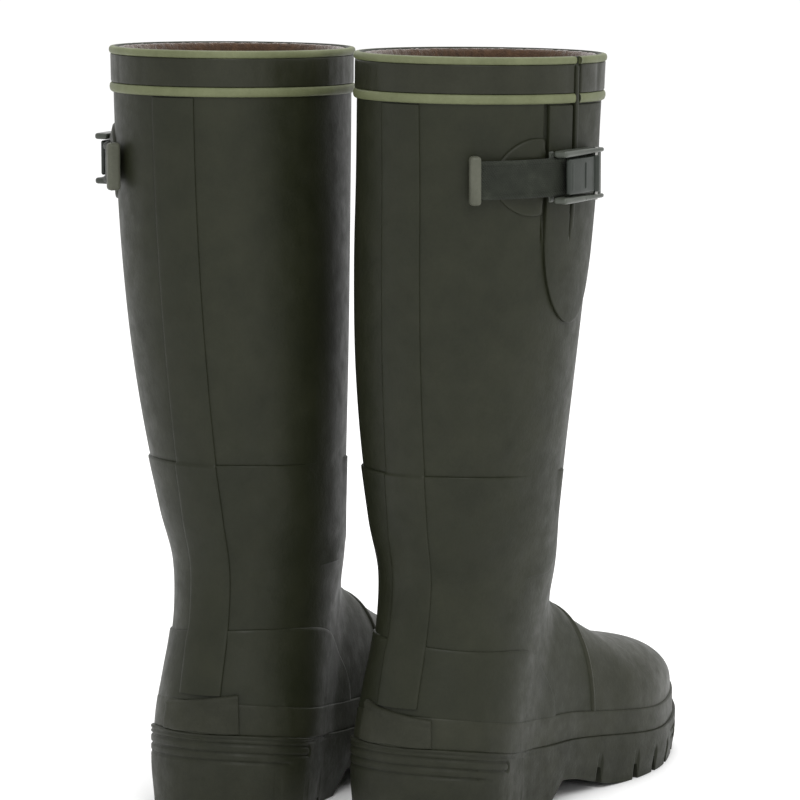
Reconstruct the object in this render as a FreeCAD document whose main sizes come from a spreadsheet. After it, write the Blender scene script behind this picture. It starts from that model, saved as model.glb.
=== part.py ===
import FreeCAD, Part
import math
import os

from FreeCAD import Placement, Rotation, Vector

# A pair of tall rubber hunting boots.  Every piece is modelled for the right boot in the boot's own frame:
# X to the wearer's right (the outer side), Y from heel to toe, Z up, the back of the heel at Y 0 and the
# floor at Z 0.  The left boot is the mirror image of the placed right boot.

# Horizontal sections through shaft and heel: height, sideways shift, back edge, half depth, half width.
SHAFT_RINGS = [
    (20.0, 1.9, -0.5, 47.5, 43.6),
    (51.0, 1.9, 0.5, 49.0, 43.6),
    (70.0, 2.0, 4.6, 51.5, 42.6),
    (105.0, 2.2, 13.4, 55.5, 41.2),
    (133.0, 2.8, 17.0, 57.5, 43.5),
    (165.0, 3.9, 12.2, 58.5, 47.8),
    (195.0, 5.3, 7.2, 60.0, 51.8),
    (240.0, 7.6, 1.6, 63.2, 56.4),
    (300.0, 10.7, -2.9, 68.1, 59.6),
    (350.0, 13.0, -4.6, 72.1, 60.6),
    (391.0, 14.0, -5.8, 74.6, 60.8),
    (421.0, 14.5, -6.4, 76.0, 60.8),
]

# Upright sections through the foot: distance from the heel, sideways shift, half width, top height.
FOOT_RIBS = [
    (38.0, 1.6, 36.0, 84.0),
    (75.0, 1.8, 37.5, 112.0),
    (105.0, 1.4, 37.5, 121.0),
    (135.0, 1.0, 38.0, 112.0),
    (160.0, 0.8, 40.8, 96.0),
    (190.0, 0.0, 44.8, 81.0),
    (215.0, -2.2, 45.0, 74.0),
    (238.0, -5.2, 41.0, 66.5),
    (258.0, -7.5, 34.5, 58.5),
    (273.0, -8.5, 26.0, 51.0),
    (283.0, -8.5, 17.0, 44.0),
    (288.0, -8.0, 8.0, 38.5),
]

# Side view of the sole: distance from the heel, top height.
SOLE_TOP = [(-20.0, 50.5), (0.0, 49.5), (20.0, 46.5), (42.0, 42.5), (65.0, 39.0), (93.0, 35.5), (125.0, 33.5),
            (148.0, 31.0), (181.0, 27.0), (210.0, 24.0), (240.0, 23.0), (270.0, 24.5), (310.0, 31.0)]

# Side view of the foxing strip's upper edge: distance from the heel, height.
FOXING_TOP = [(-20.0, 67.0), (0.0, 66.0), (20.0, 63.0), (42.0, 59.0), (65.0, 55.3), (93.0, 51.5), (125.0, 48.8),
              (148.0, 45.3), (181.0, 40.6), (210.0, 37.2), (240.0, 36.0), (270.0, 37.3), (310.0, 43.5)]

# One driving table; lengths are millimetres and angles are degrees.
DIMENSIONS = {
    "boot_height": 415.0,
    "pair_half_spacing": 59.8,
    "pair_stagger": 11.6,
    "pair_setback": 141.561,
    "toe_out_angle": 3.1,
    "turn_centre": 150.0,
    "glue_line": 0.15,
    "rubber_wall": 2.4,
    "lining_wall": 3.2,
    "overlay_wall": 1.3,
    "seam_gap": 0.3,
    "vamp_seam_foot": 146.0,
    "vamp_seam_lean": 0.03,
    "toe_puff_start": 250.0,
    "toe_puff_wall": 0.9,
    "sole_flange": 2.6,
    "heel_front": 108.0,
    "heel_breast_slope": 16.0,
    "heel_breast_turn": 9.5,
    "arch_height": 13.0,
    "tread_start": 168.0,
    "tread_slope": 42.0,
    "toe_spring": 7.0,
    "lug_depth": 8.0,
    "lug_gap": 6.0,
    "lug_pitch": 22.0,
    "heel_lug_start": 16.0,
    "lug_turn": 14.0,
    "groove_top": 46.0,
    "groove_pitch": 4.4,
    "groove_height": 1.7,
    "groove_depth": 1.5,
    "groove_end": 46.0,
    "midsole_inset": 8.0,
    "midsole_depth": 8.0,
    "shank_width": 14.0,
    "shank_length": 95.0,
    "shank_start": 62.0,
    "shank_wall": 2.0,
    "insole_wall": 2.0,
    "footbed_wall": 4.0,
    "band_top": 410.8,
    "band_bottom": 395.8,
    "band_wall": 1.2,
    "piping_wall": 2.2,
    "upper_piping_height": 4.0,
    "lower_piping_height": 5.2,
    "ankle_top": 194.0,
    "ankle_bottom": 133.0,
    "ankle_front": 92.0,
    "counter_top": 104.0,
    "counter_front": 104.0,
    "strip_half_width": 12.0,
    "strip_drift": 3.5,
    "strip_wall": 1.1,
    "rim_fall": 1.0,
    "strip_foot": 194.6,
    "kick_half_width": 19.6,
    "kick_bottom": 52.0,
    "kick_top": 70.0,
    "kick_wall": 5.0,
    "kick_front": 26.0,
    "tongue_rear": -23.5,
    "tongue_fore": 30.0,
    "tongue_tip": 272.0,
    "tongue_shoulder": 318.0,
    "slit_width": 1.2,
    "slit_bottom": 320.0,
    "slit_shift": -5.5,
    "trim_width": 3.0,
    "trim_wall": 1.6,
    "fold_half_width": 18.0,
    "fold_wall": 0.8,
    "fold_bottom": 300.0,
    "fold_top": 406.0,
    "lining_drop": 0.6,
    "strap_height": 351.4,
    "strap_width": 20.0,
    "strap_wall": 2.2,
    "strap_arc_x": -19.4,
    "strap_arc_y": -0.9,
    "strap_arc_radius": 84.4,
    "strap_tail_angle": -48.2,
    "strap_nose_angle": 9.5,
    "stop_height": 25.5,
    "stop_width": 6.0,
    "stop_wall": 7.0,
    "stop_under": 2.8,
    "patch_radius": 20.5,
    "patch_rear": -31.0,
    "patch_wall": 1.4,
    "frame_length": 40.0,
    "frame_height": 27.6,
    "frame_rear": -27.0,
    "rail_base": 63.1,
    "rail_rise": 8.1,
    "rail_width": 3.4,
    "bar_width": 4.0,
    "rear_bar_base": 59.55,
    "rear_bar_wall": 1.3,
    "front_bar_base": 67.0,
    "front_bar_wall": 2.2,
    "lever_base": 67.6,
    "lever_height": 19.0,
    "lever_wall": 2.6,
    "lever_length": 28.0,
    "knuckle_radius": 2.2,
    "pin_radius": 1.1,
    "pin_base": 69.6,
    "pin_forward": 6.0,
    "tab_clearance": 1.0,
    "tab_wall": 1.35,
    "tab_height": 16.0,
    "tab_start_angle": -36.0,
    "tab_end_angle": -19.0,
    "pin_clearance": 0.2,
}

REGION_FAR = 400.0
SECTION_POINTS = 28
LEAF_STEPS = 8
SECTION_FLOOR = 14.0
WIDEST_HEIGHT = 40.0
CROWN_DEPTH = 14.0
HEEL_RADIUS = 42.0
HEEL_TOP = 51.0
KICK_MIDDLE = 0.5
SHANK_MIDDLE = 2.0
OVERCUT = 5.0
ROOM = 0.3
SHAFT_CENTRE_X = 13.0
SHAFT_CENTRE_Y = 66.8

document = FreeCAD.newDocument("HuntingBoots")
sheet = document.addObject("Spreadsheet::Sheet", "DrivingTable")
for row, (name, value) in enumerate(DIMENSIONS.items(), start=1):
    sheet.set("A%d" % row, name)
    sheet.set("B%d" % row, str(value))
    sheet.setAlias("B%d" % row, name)
document.recompute()


def dim(name):
    """A driving dimension as the sheet holds it."""
    return float(sheet.get(name))


# ---------------------------------------------------------------- surfaces of the boot

def ring_wire(ring, inset):
    height, shift, back, half_depth, half_width = ring
    centre = Vector(shift, back + half_depth, height)
    depth_end = centre + Vector(0, half_depth - inset, 0)
    width_end = centre + Vector(half_width - inset, 0, 0)
    return Part.Wire([Part.Ellipse(depth_end, width_end, centre).toShape()])


def fraction(value, start, end):
    """How far a value has come from start to end, held between 0 and 1."""
    return max(0.0, min(1.0, (value - start) / (end - start)))


def rib_wire(rib, inset):
    """Upright section of the foot: straight sides below the widest line and a rounded back above it."""
    distance, shift, half_width, top = rib
    squeeze = inset * fraction(distance, 190.0, 280.0)
    width = max(half_width - inset, 3.0)
    waist = min(WIDEST_HEIGHT, top - CROWN_DEPTH)
    rise = max(top - inset - waist, 2.0)
    points = []
    for step in range(SECTION_POINTS):
        angle = 2.0 * math.pi * step / SECTION_POINTS
        cosine = math.cos(angle)
        sine = math.sin(angle)
        across = width * math.copysign(abs(cosine) ** 0.8, cosine)
        if sine >= 0.0:
            up = waist + rise * sine ** 0.9
        else:
            up = waist - (waist - SECTION_FLOOR) * abs(sine) ** 0.5
        points.append(Vector(shift + across, distance - squeeze, up))
    curve = Part.BSplineCurve()
    curve.interpolate(points, PeriodicFlag=True)
    return Part.Wire([curve.toShape()])


shafts = {}
boots = {}


def inside_shaft(inset):
    """Shaft and heel within their surface moved in by the inset (out when it is negative)."""
    key = round(inset, 3)
    if key not in shafts:
        shafts[key] = Part.makeLoft([ring_wire(ring, inset) for ring in SHAFT_RINGS], True, False)
    return shafts[key]


def inside(inset):
    """Shaft and foot together."""
    key = round(inset, 3)
    if key not in boots:
        foot = Part.makeLoft([rib_wire(rib, inset) for rib in FOOT_RIBS], True, False)
        boots[key] = inside_shaft(inset).fuse(foot)
    return boots[key]


def layer_of(outer, inner, region):
    """The part of a region that lies between two insets of the whole boot."""
    return inside(outer).common(region).cut(inside(inner))


def shaft_layer(outer, inner, region):
    """The part of a region that lies between two insets of the shaft."""
    return inside_shaft(outer).common(region).cut(inside_shaft(inner))


def slab(bottom, top):
    corner = Vector(-REGION_FAR / 2, -REGION_FAR / 4, bottom)
    return Part.makeBox(REGION_FAR, REGION_FAR * 1.5, top - bottom, corner)


def rim_slab(bottom, top):
    """Slab whose faces fall towards the toe as the rim does."""
    shape = slab(bottom, top)
    shape.rotate(Vector(0, SHAFT_RINGS[-2][2], dim("boot_height")), Vector(1, 0, 0), -dim("rim_fall"))
    return shape


def side_prism(outline, side=0):
    """Prism along X of an outline drawn in the side view; side +1 keeps only the outer half."""
    start = SHAFT_CENTRE_X if side > 0 else -REGION_FAR / 2
    points = [Vector(start, y, z) for y, z in outline]
    face = Part.Face(Part.makePolygon(points + points[:1]))
    return face.extrude(Vector(REGION_FAR / 2 + SHAFT_CENTRE_X, 0, 0) if side > 0 else Vector(REGION_FAR, 0, 0))


def below_profile(profile, lift, floor=-10.0):
    """Solid under a smooth side-view line."""
    curve = Part.BSplineCurve()
    curve.interpolate([Vector(-REGION_FAR / 4, y, z + lift) for y, z in profile])
    first = Vector(-REGION_FAR / 4, profile[0][0], floor)
    last = Vector(-REGION_FAR / 4, profile[-1][0], floor)
    edges = [curve.toShape(),
             Part.makeLine(curve.EndPoint, last),
             Part.makeLine(last, first),
             Part.makeLine(first, curve.StartPoint)]
    return Part.Face(Part.Wire(edges)).extrude(Vector(REGION_FAR / 2, 0, 0))


def footprint_face(flange, height=-1.0):
    """Plan outline of the foot, grown by the flange."""
    heel = SHAFT_RINGS[1]
    heel_centre = heel[2] + HEEL_RADIUS
    points = []
    for angle in (-70.0, -45.0, -22.0, 0.0, 22.0, 45.0, 70.0):
        turn = math.radians(angle)
        points.append(Vector(heel[1] + (heel[4] + flange - 0.8) * math.sin(turn),
                             heel_centre - (HEEL_RADIUS + flange) * math.cos(turn), height))
    outer = [rib for rib in FOOT_RIBS if rib[0] > 70.0 and rib[2] + flange > 4.0]
    sides = []
    for distance, shift, half_width, _top in outer:
        ahead = flange * fraction(distance, 200.0, 280.0)
        sides.append((shift, half_width + flange, distance + ahead))
    for shift, half_width, distance in sides:
        points.append(Vector(shift + half_width, distance, height))
    points.append(Vector(FOOT_RIBS[-1][1], FOOT_RIBS[-1][0] + 1.5 + flange, height))
    for shift, half_width, distance in reversed(sides):
        points.append(Vector(shift - half_width, distance, height))
    curve = Part.BSplineCurve()
    curve.interpolate(points, PeriodicFlag=True)
    return Part.Face(Part.Wire([curve.toShape()]))


def footprint_prism(flange, bottom=-1.0, top=90.0):
    return footprint_face(flange, bottom).extrude(Vector(0, 0, top - bottom))


def main_solid(shape):
    """Largest solid of a result, without slivers."""
    return max(shape.Solids, key=lambda solid: solid.Volume)


# ---------------------------------------------------------------- document objects

boot_turn = Rotation(Vector(0, 0, 1), -dim("toe_out_angle"))
boot_place = Placement(Vector(dim("pair_half_spacing"), dim("pair_stagger"), 0), Rotation()).multiply(
    Placement(Vector(0, 0, 0), boot_turn)).multiply(
    Placement(Vector(0, -dim("turn_centre"), 0), Rotation()))
pair_shift = Placement(Vector(0, dim("turn_centre") - dim("pair_setback"), 0), Rotation())
boot_place = pair_shift.multiply(boot_place)

sub_parts = []


def keep(name, item):
    """Name a right-boot piece, put it in place and add its mirror image for the left boot."""
    item.Label = "right_" + name
    item.Placement = boot_place
    twin = document.addObject("Part::Mirroring", "left_" + name)
    twin.Source = item
    twin.Base = (0, 0, 0)
    twin.Normal = (1, 0, 0)
    twin.Label = "left_" + name
    twin.Placement = Placement(Vector(0, -2.0 * dim("pair_stagger"), 0), Rotation())
    sub_parts.extend([item, twin])


def keep_shape(name, shape):
    item = document.addObject("Part::Feature", "right_" + name)
    item.Shape = shape
    keep(name, item)


def primitive(kind, name, **sizes):
    """Part primitive whose sizes follow the sheet."""
    item = document.addObject(kind, name)
    for prop, formula in sizes.items():
        item.setExpression(prop.replace("__", "."), formula)
    return item


def boolean(kind, name, base, tool):
    item = document.addObject(kind, name)
    item.Base = base
    item.Tool = tool
    return item


def fusion(name, pieces):
    item = document.addObject("Part::MultiFuse", name)
    item.Shapes = pieces
    return item


glue = dim("glue_line")
wall = dim("rubber_wall")
rim = dim("boot_height")
strap_z = dim("strap_height")
slit_y = SHAFT_CENTRE_Y
slit_rear = slit_y + dim("slit_shift")
slit = Part.makeBox(60.0, dim("slit_width"), REGION_FAR, Vector(SHAFT_CENTRE_X + 30.0, slit_rear, dim("slit_bottom")))
under_sole = below_profile(SOLE_TOP, glue)

# ---- rubber upper, split at the vamp seam
seam_y = dim("vamp_seam_foot")
gap = dim("seam_gap")
seam_low = 10.0
seam_high = 210.0
seam_lean = dim("vamp_seam_lean") * (seam_high - seam_low)
seam_edge = [(seam_y, seam_low), (seam_y + seam_lean, seam_high)]
in_front = side_prism([(seam_y + gap, seam_low), (seam_y + seam_lean + gap, seam_high), (REGION_FAR, seam_high),
                       (REGION_FAR, seam_low)])
behind = side_prism(seam_edge + [(seam_y + seam_lean, REGION_FAR * 2), (-60.0, REGION_FAR * 2), (-60.0, seam_low)])
upper = layer_of(0.0, wall, slab(10.0, rim + OVERCUT).common(rim_slab(-20.0, rim))).cut(under_sole)
keep_shape("leg_panel", main_solid(upper.common(behind).cut(slit)))
keep_shape("vamp", main_solid(upper.common(in_front)))

# ---- lining, with room for the toe stiffener and the gusset fold
def fold_outline(room):
    """Rectangle of the folded gusset in the side view, grown by the room left round it."""
    half = dim("fold_half_width") + room
    low = dim("fold_bottom") - room
    high = dim("fold_top") + room
    return [(slit_y - half, low), (slit_y + half, low), (slit_y + half, high), (slit_y - half, high)]


def toe_outline(room):
    """Side view of the toe stiffener, grown by the room left round it."""
    start = dim("toe_puff_start") - room
    return [(start, 20.0 - room), (start, 90.0 + room), (REGION_FAR, 90.0 + room), (REGION_FAR, 20.0 - room)]


skin = wall + glue
fold = shaft_layer(skin, skin + dim("fold_wall"), side_prism(fold_outline(0.0), 1))
puff = layer_of(skin, skin + dim("toe_puff_wall"), side_prism(toe_outline(0.0)))
board_top = dim("insole_wall") + 2 * glue
lining_room = slab(10.0, rim + OVERCUT).common(rim_slab(-20.0, rim - dim("lining_drop")))
lining = layer_of(skin, skin + dim("lining_wall"), lining_room)
lining = lining.cut(below_profile(SOLE_TOP, board_top + glue))
fold_room = side_prism(fold_outline(ROOM), 1)
puff_room = side_prism(toe_outline(ROOM))
lining = lining.cut(shaft_layer(wall - glue, skin + dim("fold_wall") + ROOM, fold_room))
lining = lining.cut(layer_of(wall - glue, skin + dim("toe_puff_wall") + ROOM, puff_room))
keep_shape("lining", main_solid(lining))
keep_shape("gusset_fold", main_solid(fold))
keep_shape("toe_stiffener", main_solid(puff.cut(below_profile(SOLE_TOP, board_top + glue))))

# ---- insole board and footbed
inner_foot = inside(wall + glue + 0.1)
inner_sock = inside(wall + 2 * glue + dim("lining_wall") + 0.1)
board = below_profile(SOLE_TOP, glue + dim("insole_wall")).cut(below_profile(SOLE_TOP, glue))
keep_shape("insole_board", main_solid(board.common(inner_foot)))
bed_bottom = board_top + 2 * glue
bed = below_profile(SOLE_TOP, bed_bottom + dim("footbed_wall")).cut(below_profile(SOLE_TOP, bed_bottom))
keep_shape("footbed", main_solid(bed.common(inner_sock)))

# ---- outsole: cut from the plan outline, arch and heel breast, side grooves and tread lugs
flange = dim("sole_flange")
toe_end = FOOT_RIBS[-1][0] + flange
heel_front = dim("heel_front")
heel_edge = heel_front - dim("heel_breast_slope")
arch = dim("arch_height")
tread = dim("tread_start")
arch_middle = heel_front + 12.0
sole = footprint_prism(flange).common(below_profile(SOLE_TOP, 0.0, -2.0)).common(slab(0.0, 90.0))
breast_cut = side_prism([(heel_edge, -OVERCUT), (heel_edge, 0.0), (heel_front, arch), (arch_middle, arch),
                         (arch_middle, -OVERCUT)])
breast_cut.rotate(Vector(0, heel_front, 0), Vector(0, 0, 1), dim("heel_breast_turn"))
tread_cut = side_prism([(arch_middle - 8.0, -OVERCUT), (arch_middle - 8.0, arch), (tread - dim("tread_slope"), arch),
                        (tread, 0.0), (tread, -OVERCUT)])
toe_lift = side_prism([(toe_end - 55.0, -OVERCUT), (toe_end - 55.0, 0.0), (toe_end + 1.0, dim("toe_spring")),
                       (toe_end + 1.0, -OVERCUT)])
sole = sole.cut(breast_cut).cut(tread_cut).cut(toe_lift)
groove_core = footprint_prism(flange - dim("groove_depth"))
groove_reach = side_prism([(-60.0, 0.0), (-60.0, 60.0), (dim("groove_end"), 60.0), (dim("groove_end"), 0.0)])
for level in range(3):
    groove_top = dim("groove_top") - level * dim("groove_pitch")
    ring_cut = footprint_prism(flange + 20.0, groove_top - dim("groove_height"), groove_top).cut(groove_core)
    sole = sole.cut(ring_cut.common(groove_reach))


def lug_channels(body, start, end, reach, turn):
    """Cut pairs of channels between the tread lugs from both edges of the sole."""
    place = start
    while place < end:
        for side in (-1.0, 1.0):
            channel = Part.makeBox(60.0, dim("lug_gap"), 2 * dim("lug_depth"), Vector(-30.0, 0, -dim("lug_depth")))
            channel.rotate(Vector(0, 0, 0), Vector(0, 0, 1), side * turn)
            channel.translate(Vector(side * reach, place, 0))
            body = body.cut(channel)
        place += dim("lug_pitch")
    return body


sole = lug_channels(sole, tread + dim("lug_pitch") - dim("lug_gap"), toe_end - 20.0, 36.0, dim("lug_turn"))
sole = lug_channels(sole, dim("heel_lug_start"), heel_edge - 14.0, 42.0, 0.0)
inset = -dim("midsole_inset")
well = footprint_prism(inset).cut(below_profile(SOLE_TOP, -dim("midsole_depth")))
sole = sole.cut(well)
keep_shape("outsole", main_solid(sole))

# ---- midsole and the shank let into its top
core = footprint_prism(inset - glue).common(below_profile(SOLE_TOP, -glue))
core = core.cut(below_profile(SOLE_TOP, glue - dim("midsole_depth")))


def shank_block(room):
    """Plan of the shank, grown by the room left round it."""
    width = dim("shank_width") + 2 * room
    length = dim("shank_length") + 2 * room
    return Part.makeBox(width, length, 90.0, Vector(SHANK_MIDDLE - width / 2, dim("shank_start") - room, 0))


shank_top = -2 * glue
shank_low = shank_top - dim("shank_wall")
shank = shank_block(0.0).common(below_profile(SOLE_TOP, shank_top)).cut(below_profile(SOLE_TOP, shank_low))
keep_shape("midsole", main_solid(core.cut(shank_block(ROOM).cut(below_profile(SOLE_TOP, shank_low - glue)))))
keep_shape("shank", main_solid(shank))

# ---- layers on the outside of the rubber
layer = dim("overlay_wall")
foxing = layer_of(-glue - layer, -glue, below_profile(FOXING_TOP, 0.0).cut(below_profile(SOLE_TOP, glue)))


def kick_block(room):
    """Block round the kick plate, grown by the room left round it."""
    half = dim("kick_half_width") + room
    low = dim("kick_bottom") - room
    corner = Vector(KICK_MIDDLE - half, -dim("kick_front") - room, low)
    return Part.makeBox(2 * half, 2 * (dim("kick_front") + room), dim("kick_top") - low + room, corner)


keep_shape("foxing_strip", main_solid(foxing.cut(kick_block(ROOM))))
keep_shape("heel_kick_plate", main_solid(shaft_layer(-glue - dim("kick_wall"), -glue, kick_block(0.0))))
counter_top = dim("counter_top")
counter_front = dim("counter_front")
counter_view = side_prism([(-60.0, 40.0), (-60.0, counter_top), (60.0, counter_top - 6.0),
                           (counter_front - 14.0, counter_top - 14.0), (counter_front, counter_top - 34.0),
                           (counter_front + 4.0, 40.0)])
counter = layer_of(-glue - layer, -glue, counter_view)
counter = counter.cut(below_profile(FOXING_TOP, ROOM)).cut(kick_block(ROOM))
ankle_top = dim("ankle_top")
ankle_bottom = dim("ankle_bottom")
ankle_front = dim("ankle_front")
ankle_view = side_prism([(-60.0, ankle_bottom), (-60.0, ankle_top), (60.0, ankle_top - 3.0),
                         (ankle_front + 14.0, ankle_top - 4.0), (ankle_front + 3.0, ankle_bottom + 10.0),
                         (ankle_front - 6.0, ankle_bottom)])


def strip_band(half_width):
    """Upright band that follows the lean of the shaft's centre line, seen from behind."""
    foot = dim("strip_foot")
    outer = []
    inner = []
    for height, shift, _back, _half_depth, _half_width in SHAFT_RINGS:
        if height >= HEEL_TOP:
            middle = shift - dim("strip_drift") * max(0.0, (height - foot) / 200.0)
            inner.append(Vector(middle - half_width, -60.0, height))
            outer.append(Vector(middle + half_width, -60.0, height))
    outer.reverse()
    face = Part.Face(Part.makePolygon(inner + outer + inner[:1]))
    return face.extrude(Vector(0, 100.0, 0))


strip_top = dim("band_bottom") - dim("lower_piping_height") - ROOM
strip_rise = slab(dim("strip_foot"), rim).common(rim_slab(0.0, strip_top))
strip = shaft_layer(-glue - dim("strip_wall"), -glue, strip_band(dim("strip_half_width")).common(strip_rise))
keep_shape("ankle_overlay", main_solid(shaft_layer(-glue - layer, -glue, ankle_view)))
keep_shape("back_strip", main_solid(strip))
keep_shape("heel_counter", main_solid(counter))

# ---- top band with its two pipings, all open at the slit
band = shaft_layer(-glue - dim("band_wall"), -glue, rim_slab(dim("band_bottom") + glue, dim("band_top") - glue))
upper_piping = shaft_layer(-glue - dim("piping_wall"), -glue, rim_slab(rim - dim("upper_piping_height"), rim))
lower_piping = shaft_layer(-glue - dim("piping_wall"), -glue,
                           rim_slab(dim("band_bottom") - dim("lower_piping_height"), dim("band_bottom")))
trim_room = Part.makeBox(60.0, dim("trim_width") + dim("slit_width") + glue, REGION_FAR,
                         Vector(SHAFT_CENTRE_X + 30.0, slit_rear, dim("slit_bottom")))
for name, ring in (("top_band", band), ("upper_piping", upper_piping), ("lower_piping", lower_piping)):
    keep_shape(name, main_solid(ring.cut(trim_room)))

# ---- gusset: leaf-shaped tongue and the trim along the slit
rear = slit_y + dim("tongue_rear")
fore = slit_y + dim("tongue_fore")
tip = dim("tongue_tip")
shoulder = dim("tongue_shoulder")
leaf = []
for step in range(LEAF_STEPS + 1):
    turn = math.pi * step / LEAF_STEPS
    along = (rear + fore) / 2 - (fore - rear) / 2 * math.cos(turn)
    leaf.append((along, shoulder - (shoulder - tip) * math.sin(turn)))
leaf_outline = [(rear, rim)] + leaf + [(fore, rim)]
leaf_room = side_prism(leaf_outline, 1).common(rim_slab(0.0, strip_top))
tongue = shaft_layer(-glue - layer, -glue, leaf_room).cut(trim_room)
keep_shape("gusset_tongue", main_solid(tongue))
trim_region = Part.makeBox(60.0, dim("trim_width"), REGION_FAR,
                           Vector(SHAFT_CENTRE_X + 30.0, slit_rear + dim("slit_width"), dim("slit_bottom")))
trim_region = trim_region.common(rim_slab(0.0, rim))
keep_shape("slit_trim", main_solid(shaft_layer(-glue - dim("trim_wall"), -glue, trim_region)))

# ---- round patch that holds the buckle tab
disc = Part.makeCylinder(dim("patch_radius"), 200.0, Vector(SHAFT_CENTRE_X, slit_y + dim("patch_rear"), strap_z),
                         Vector(1, 0, 0))
beside = side_prism([(rear - ROOM, 200.0), (rear - ROOM, rim), (fore + ROOM, rim), (fore + ROOM, 200.0)], 1)
anchor = shaft_layer(-glue - dim("patch_wall"), -glue, disc).cut(beside)
keep_shape("anchor_patch", main_solid(anchor))

# ---- strap and its end stop, both concentric with the strap's arc
arc_centre = Vector(SHAFT_CENTRE_X + dim("strap_arc_x"), slit_y + dim("strap_arc_y"), 0)


def arc_sector(inner, outer, start, end, bottom, top):
    """Ring sector round the strap's arc; angles are measured from the outer side towards the toe."""
    wedge = Part.makeCylinder(outer, top - bottom, Vector(0, 0, bottom), Vector(0, 0, 1), end - start)
    wedge.rotate(Vector(0, 0, 0), Vector(0, 0, 1), start)
    wedge.translate(arc_centre)
    hole = Part.makeCylinder(inner, top - bottom + 2.0, arc_centre + Vector(0, 0, bottom - 1.0))
    return wedge.cut(hole)


strap_in = dim("strap_arc_radius")
strap_out = strap_in + dim("strap_wall")
half_strap = dim("strap_width") / 2
tail = dim("strap_tail_angle")
nose = dim("strap_nose_angle")
stop_turn = math.degrees(dim("stop_width") / strap_out)
keep_shape("strap", arc_sector(strap_in, strap_out, tail, nose, strap_z - half_strap, strap_z + half_strap))
half_stop = dim("stop_height") / 2
stop_body = arc_sector(strap_in - dim("stop_under"), strap_in - dim("stop_under") + dim("stop_wall"),
                       tail - 0.3 * stop_turn, tail + 0.7 * stop_turn, strap_z - half_stop, strap_z + half_stop)
stop_slot = arc_sector(strap_in - glue, strap_out + glue, tail - 0.1, tail + stop_turn, strap_z - half_strap - glue,
                       strap_z + half_strap + glue)
keep_shape("strap_end_stop", main_solid(stop_body.cut(stop_slot)))

# ---- buckle: frame, lever and pin follow the sheet directly
origin_x = "%g" % SHAFT_CENTRE_X
origin_y = "%g" % slit_y
SHEET = "DrivingTable."


def bound(text):
    """Formula text with every driving dimension read from the sheet."""
    words = []
    for word in text.split():
        words.append(SHEET + word if word in DIMENSIONS else word)
    return " ".join(words)


def block(name, size_x, size_y, size_z, x, y, z):
    return primitive("Part::Box", name, Length=bound(size_x), Width=bound(size_y), Height=bound(size_z),
                     Placement__Base__x=bound(x), Placement__Base__y=bound(y), Placement__Base__z=bound(z))


rear_y = origin_y + " + frame_rear"
lower_z = "strap_height - frame_height / 2"
frame_pieces = [
    block("RearBar", "rear_bar_wall", "bar_width", "frame_height", origin_x + " + rear_bar_base", rear_y + " + 1",
          lower_z),
    block("FrontBar", "front_bar_wall", "bar_width", "frame_height", origin_x + " + front_bar_base",
          rear_y + " + frame_length - bar_width", lower_z),
]
for rail_name, rail_z in (("LowerRail", lower_z), ("UpperRail", lower_z + " + frame_height - rail_width")):
    frame_pieces.append(block(rail_name, "rail_rise", "frame_length", "rail_width", origin_x + " + rail_base", rear_y,
                              rail_z))
frame_solid = fusion("FrameSolid", frame_pieces)
pin_x = origin_x + " + pin_base"
pin_y = origin_y + " + pin_forward"


def upright_rod(name, radius, height, z):
    """Round rod along the lever's pivot line."""
    return primitive("Part::Cylinder", name, Radius=bound(radius), Height=bound(height),
                     Placement__Base__x=bound(pin_x), Placement__Base__y=bound(pin_y), Placement__Base__z=bound(z))


frame_hole = upright_rod("FrameHole", "pin_radius + pin_clearance", "frame_height + 2", lower_z + " - 1")
frame = boolean("Part::Cut", "right_buckle_frame", frame_solid, frame_hole)
pin = primitive("Part::Cylinder", "right_buckle_pin", Radius=bound("pin_radius"), Height=bound("frame_height"))
pin_local = Vector(SHAFT_CENTRE_X + dim("pin_base"), slit_y + dim("pin_forward"), strap_z - dim("frame_height") / 2)
lever_low = "strap_height - lever_height / 2"
lever_plate = block("LeverPlate", "lever_wall", "lever_length", "lever_height", origin_x + " + lever_base",
                    origin_y + " + pin_forward - lever_length", lever_low)
lever_knuckle = upright_rod("LeverKnuckle", "knuckle_radius", "lever_height", lever_low)
lever_hole = upright_rod("LeverHole", "pin_radius + pin_clearance", "frame_height + 2", lower_z + " - 1")
lever_solid = fusion("LeverSolid", [lever_plate, lever_knuckle])
lever = boolean("Part::Cut", "right_buckle_lever", lever_solid, lever_hole)
document.recompute()
keep("buckle_frame", frame)
keep("buckle_lever", lever)
keep("buckle_pin", pin)
pin.Placement = boot_place.multiply(Placement(pin_local, Rotation()))

# ---- tab that ties the frame's rear bar to the patch
patch_skin = inside_shaft(-dim("patch_wall") - 2 * glue)
tab_out = strap_in - dim("tab_clearance")
half_tab = dim("tab_height") / 2
tab = arc_sector(tab_out - dim("tab_wall"), tab_out, dim("tab_start_angle"), dim("tab_end_angle"), strap_z - half_tab,
                 strap_z + half_tab)
keep_shape("buckle_tab", main_solid(tab.cut(patch_skin)))
document.recompute()

# ---------------------------------------------------------------- checks and export
for item in document.Objects:
    if "Invalid" in item.State or "Error" in item.State:
        raise SystemExit("object in error: " + item.Name)
faulty = [item.Label for item in sub_parts if item.Shape.isNull() or not item.Shape.isValid()]
if faulty:
    raise SystemExit("invalid shapes: " + ", ".join(faulty))

os.makedirs("parts", exist_ok=True)
for item in sub_parts:
    item.Shape.exportStep("parts/%s.step" % item.Label)
bounds = sub_parts[0].Shape.optimalBoundingBox(False)
for item in sub_parts:
    bounds.add(item.Shape.optimalBoundingBox(False))
print("sub-parts", len(sub_parts))
print("box X %.3f %.3f Y %.3f %.3f Z %.3f %.3f" % (bounds.XMin, bounds.XMax, bounds.YMin, bounds.YMax, bounds.ZMin,
                                                    bounds.ZMax))
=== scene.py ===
import math

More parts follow.
